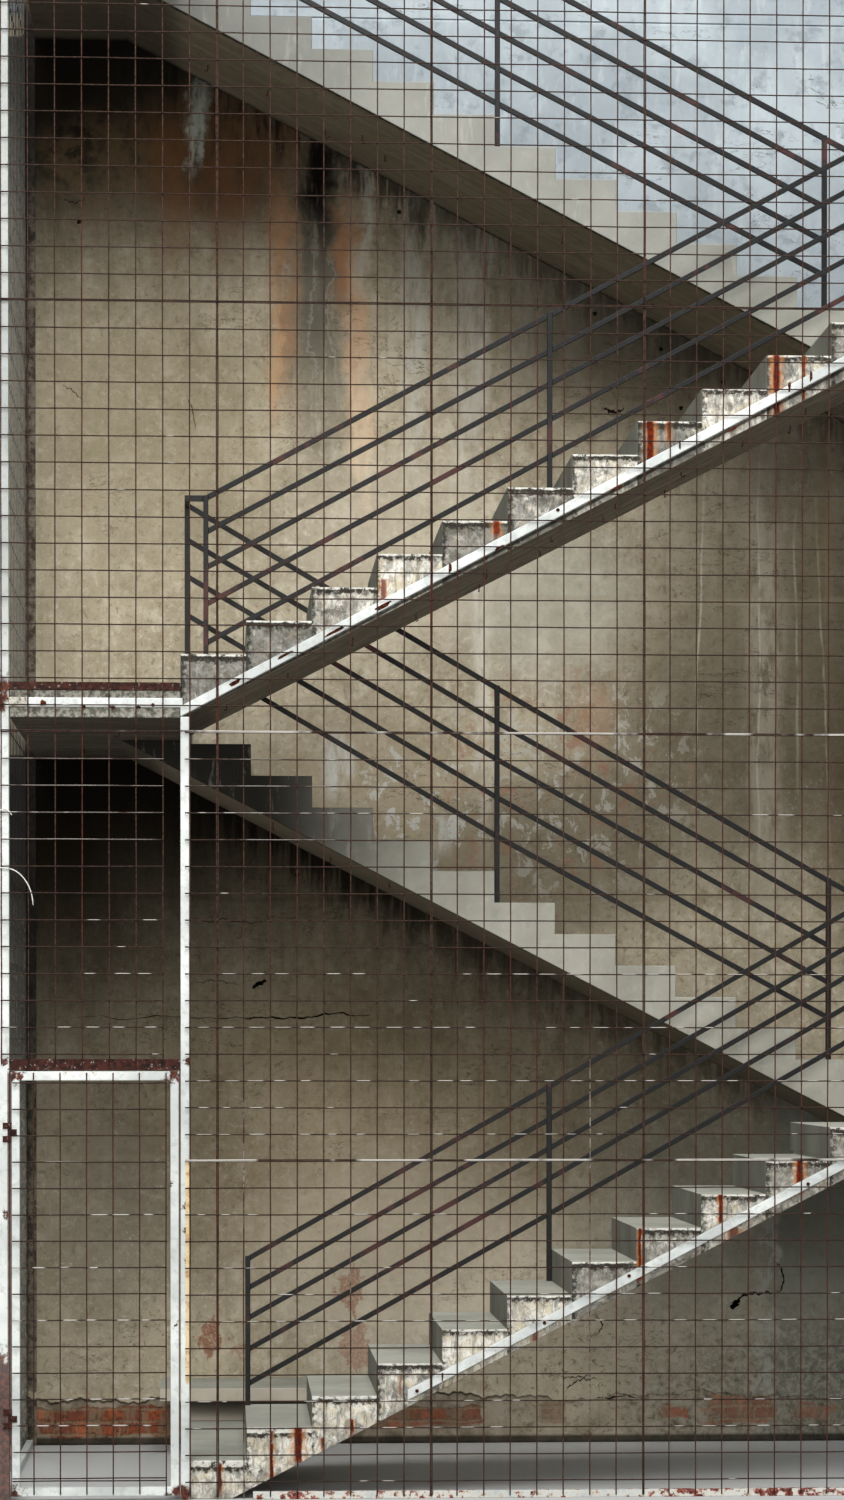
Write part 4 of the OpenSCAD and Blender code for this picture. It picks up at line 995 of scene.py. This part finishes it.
# Bolts in the white bars: x and z of each
bolts = {
    "radius": 0.0085, "reach": 0.007,
    "places": [
        (-0.624, 3.643), (-0.125, 3.637), (1.73, 4.542), (1.083, 0.495), (1.671, 0.805), (2.062, 1.021),
        (2.893, 1.443), (3.35, 5.353), (3.95, 5.353), (3.38, 1.633), (4.0, 1.633)]}
heads = turned(at([(x, barFace + 0.001, z) for x, z in bolts["places"]]),
               [(bolts["radius"], 0.0), (bolts["radius"], bolts["reach"] * 0.5),
                (bolts["radius"] * 0.7, bolts["reach"])])
addPiece("bar_bolts", *heads, [scabRust], "stair", "rusty_angle")

# Rusted lugs at the lower edge of the upper bar, joints of the bars, and scabs by the bolts
slope = riser / going
lugs = {
    "thick": 0.004,
    "lugs": [
        (0.249, 3.741, 0.024, 0.010), (0.478, 3.869, 0.034, 0.006), (0.706, 3.978, 0.042, 0.007),
        (0.926, 4.095, 0.034, 0.010), (1.46, 4.367, 0.02, 0.006), (2.0, 4.646, 0.026, 0.006),
        (2.54, 4.922, 0.022, 0.006)],
    "joints": [
        (1.234, 4.272, 0.007, 0.021), (2.293, 4.845, 0.004, 0.02), (2.80, 5.118, 0.006, 0.022),
        (2.90, 5.168, 0.006, 0.022), (2.618, 1.301, 0.004, 0.02), (1.2, 0.56, 0.004, 0.02)],
    "level": [
        (-0.624, 3.643, 0.013, 0.012), (-0.44, 3.626, 0.01, 0.006), (-0.31, 3.626, 0.012, 0.006),
        (-0.19, 3.626, 0.01, 0.006), (3.35, 5.353, 0.013, 0.012), (3.38, 1.633, 0.013, 0.011)]}
scabs = [(x, barFace + 0.001, z, long, tall, slope) for key in ("lugs", "joints") for x, z, long,
         tall in lugs[key]]
scabs += [(x, barFace + 0.001, z, long, tall, 0.0) for x, z, long, tall in lugs["level"]]
addPiece("bar_lugs", *flakes(np.hstack([at([place[:3] for place in scabs]), [place[3:] for place in scabs]]),
                             lugs["thick"]), [scabRust], "stair", "rusty_angle")

# Ends of tying wire that hang from the undersides: x, y and z of each
hooks = {
    "radius": 0.0024, "shortest": 0.030, "longer": 0.022,
    "places": [
        (0.499, 0.43, 3.835), (0.212, 0.42, 3.687), (0.8, 0.29, 3.99), (1.118, 0.75, 4.155), (1.733, 0.35, 4.472),
        (1.717, 0.77, 4.464), (1.432, 0.36, 4.317), (1.429, 0.86, 4.315), (2.011, 0.67, 4.616),
        (2.032, 0.33, 4.627), (2.948, 0.41, 5.1), (2.942, 0.86, 5.097), (2.654, 0.45, 4.948),
        (2.355, 0.42, 4.794), (2.338, 0.91, 4.785), (0.44, 1.41, 3.196), (0.738, 1.74, 3.041),
        (1.02, 1.45, 2.896), (1.016, 1.85, 6.619), (0.894, 1.7, 6.681), (0.117, 1.93, 7.083),
        (1.258, 2.06, 6.494), (0.421, 1.8, 6.926), (0.714, 1.98, 6.774), (1.9, 1.6, 6.16), (2.4, 1.95, 5.9),
        (-0.3, 0.7, 3.58), (-0.5, 1.5, 3.58)]}
spots = at(hooks["places"])
number = np.arange(len(spots))
length = hooks["shortest"] + hooks["longer"] * np.sin(number * 2.4) ** 2
drift = np.stack([0.012 * np.sin(number * 3.1), 0.008 * np.cos(number * 1.7), np.zeros(len(spots))], -1)
t = np.linspace(0.0, 1.0, 7)
falls = spots[:, None] + drift[:, None] * (t ** 2)[None, :, None]
falls[..., 2] += 0.008 - length[:, None] * np.sin(t * 2.2)[None]
falls[..., 0] += 0.010 * np.sin(number * 5.0)[:, None] * np.maximum(t - 0.6, 0)[None] * 4
addPiece("tying_wire_ends", *tubes(falls, hooks["radius"], 5), [scabRust], "stair", "rusty_angle")

# Nylon ties on the left corner post, one with a long tail
ties = {"radius": 0.0026, "left": -0.832, "width": 0.056, "front": -0.0425, "height": 2.893, "upper": 3.165,
        "tailOut": 0.106, "tailDown": 0.165}
t = np.linspace(0.0, 1.0, 12)
front = np.full(12, ties["front"])
band = np.stack([ties["left"] + ties["width"] * t, front + 0.006 * (2 * t - 1) ** 4, ties["height"] - 0.006 * t],
                -1)
tail = np.stack([band[-1, 0] + ties["tailOut"] * np.sin(t * 1.5), front,
                 band[-1, 2] - ties["tailDown"] * t ** 1.6], -1)
small = np.stack([ties["left"] + 0.066 * t, front, ties["upper"] - 0.012 * np.cos(t * 5) - 0.03 * t], -1)
addPiece("nylon_ties", *tubes(at(np.stack([band, tail, small])), ties["radius"]), [whiteNylon], "stair",
         "white_steel")

# Broken lower edge of the render: a skin 13 mm thick at its ragged edge, thinning as a parabola to nothing above
skinShape = {"steps": 1100, "tall": 0.11, "lip": 0.003, "thick": 0.009, "clearFrom": 1.3, "clearTo": 2.2}
wallEnds = [corner[0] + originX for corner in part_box("back_wall")]
places = np.linspace(wallEnds[0] + 0.002, wallEnds[1] - 0.002, skinShape["steps"])
lower = edgeHeight + sum(size * np.sin(places * rate + turn) for size, rate, turn in edgeWaves)
thick = skinShape["thick"] + 0.003 * np.sin(places * 7.0) + 0.001 * np.sin(places * 51.0)
thick *= 0.2 + 0.8 * np.clip((skinShape["clearTo"] - places) / (skinShape["clearTo"] - skinShape["clearFrom"]),
                             0.0, 1.0)
share = np.array([0.0, 0.0, 0.04, 0.12, 0.3, 0.55, 0.8, 1.0])
inward = np.array([1.0, 0.0, -0.12, 0.0, 0.0, 0.0, 0.0, 0.0])
out = thick[:, None] * (1 - share[None]) ** 2
out[:, 0] = -0.004
heights = lower[:, None] + skinShape["tall"] * share[None] + skinShape["lip"] * inward[None]
skin = np.stack([np.broadcast_to(places[:, None], out.shape), depth - out, heights], -1)
across, upward = np.meshgrid(np.arange(len(places) - 1), np.arange(len(share) - 1), indexing="ij")
first = across * len(share) + upward
skinFaces = np.stack([first, first + len(share), first + len(share) + 1, first + 1], -1).reshape(-1, 4)
addPiece("render_edge", at(skin.reshape(-1, 3)), skinFaces, [wallPaint], "stair", "wall_render")

# Open cracks and small holes in the render: x and z along each crack, width in metres
cracks = {
    "lines": [
        (0.006, [(1.957, 0.234), (1.989, 0.276), (2.02, 0.307), (2.062, 0.328), (2.115, 0.359)]),
        (0.005, [(1.94, 0.352), (2.01, 0.339), (2.052, 0.349), (2.1, 0.33), (2.17, 0.338)]),
        (0.013, [(2.871, 0.714), (2.898, 0.746), (2.935, 0.777), (3.014, 0.782), (3.099, 0.782)]),
        (0.03, [(2.862, 0.703), (2.884, 0.727), (2.902, 0.745)]),
        (0.008, [(3.099, 0.946), (3.126, 0.914), (3.142, 0.851), (3.126, 0.798), (3.099, 0.782)]),
        (0.004, [(0.019, 2.75), (0.097, 2.729), (0.185, 2.745), (0.305, 2.725), (0.435, 2.735)]),
        (0.004, [(-0.605, 2.223), (-0.449, 2.239), (-0.294, 2.218), (-0.112, 2.244), (0.07, 2.224),
                 (0.279, 2.234), (0.487, 2.214)]),
        (0.004, [(0.044, 2.411), (0.149, 2.427), (0.279, 2.401)]),
        (0.018, [(0.34, 2.385), (0.375, 2.408), (0.42, 2.425)]),
        (0.009, [(0.24, 2.235), (0.36, 2.228), (0.45, 2.23), (0.55, 2.231), (0.62, 2.224), (0.7, 2.25),
                 (0.8, 2.252), (0.88, 2.243), (0.965, 2.246)]),
        (0.014, [(2.179, 5.426), (2.216, 5.41), (2.247, 5.4), (2.289, 5.422)]),
        (0.005, [(-0.637, 6.473), (-0.575, 6.458), (-0.518, 6.479)]),
        (0.004, [(-0.643, 5.515), (-0.591, 5.49), (-0.54, 5.438)]),
        (0.004, [(0.0, 5.47), (0.031, 5.403), (0.051, 5.289)]),
        (0.006, [(2.152, 0.664), (2.184, 0.617), (2.157, 0.57)]),
        (0.008, [(1.878, 0.245), (1.957, 0.238), (2.063, 0.25), (2.168, 0.232), (2.3, 0.243), (2.42, 0.228)])],
    "hole": 0.011,
    "holes": [
        (0.576, 2.976), (-0.554, 6.36), (1.109, 6.434), (2.136, 5.918), (2.484, 5.737), (2.811, 5.569),
        (2.59, 5.43), (0.284, 3.155)]}


# Flat strips on the wall: each line resampled to even steps with a small waver of three sines, its width
# swelling from nothing at the ends as the root of a sine.
def ribbons(lines, count=40):
    parts = []
    for number, (width, line) in enumerate(lines):
        line = np.array(line)
        run = np.append(0.0, np.cumsum(np.hypot(*np.diff(line, axis=0).T)))
        s = np.linspace(0.0, 1.0, count)
        x, z = np.interp(s * run[-1], run, line[:, 0]), np.interp(s * run[-1], run, line[:, 1])
        z = z + 0.004 * np.sin(s * 23 + number) + 0.003 * np.sin(s * 51 + number * 2) + 0.002 * np.sin(s * 97)
        turn = np.arctan2(np.gradient(z), np.gradient(x))
        half = 0.5 * width * np.sqrt(np.abs(np.sin(np.pi * s))) * (1 + 0.35 * np.sin(s * 37 + number))
        rims = [np.stack([x + way * half * np.sin(turn), np.full(count, depth - 0.0008),
                          z - way * half * np.cos(turn)], -1) for way in (1, -1)]
        first = np.arange(count - 1)
        parts.append((np.concatenate(rims),
                      np.stack([first, first + 1, first + 1 + count, first + count], -1).tolist()))
    return joined(*parts)


# Painted shadow: flat dark strips and discs stand in for the shade inside the open cracks and holes
gapPaint = Paint("crackShadow", 1.0, 0.0)
gapDark = gapPaint.finish("#17130e")
crackVertices, crackFaces, _ = ribbons(cracks["lines"])
holePlaces = at([(x, depth + 0.001, z) for x, z in cracks["holes"]])
holeSizes = np.tile([cracks["hole"], cracks["hole"], 0.0], (len(holePlaces), 1))
holes = flakes(np.hstack([holePlaces, holeSizes]), 0.002, 10)
crackVertices, crackFaces, _ = joined((at(crackVertices), crackFaces), holes)
addPiece("wall_cracks", crackVertices, crackFaces, [gapDark], "stair", "wall_render", smooth=False)
print("stage: small pieces")

print("stage: done")
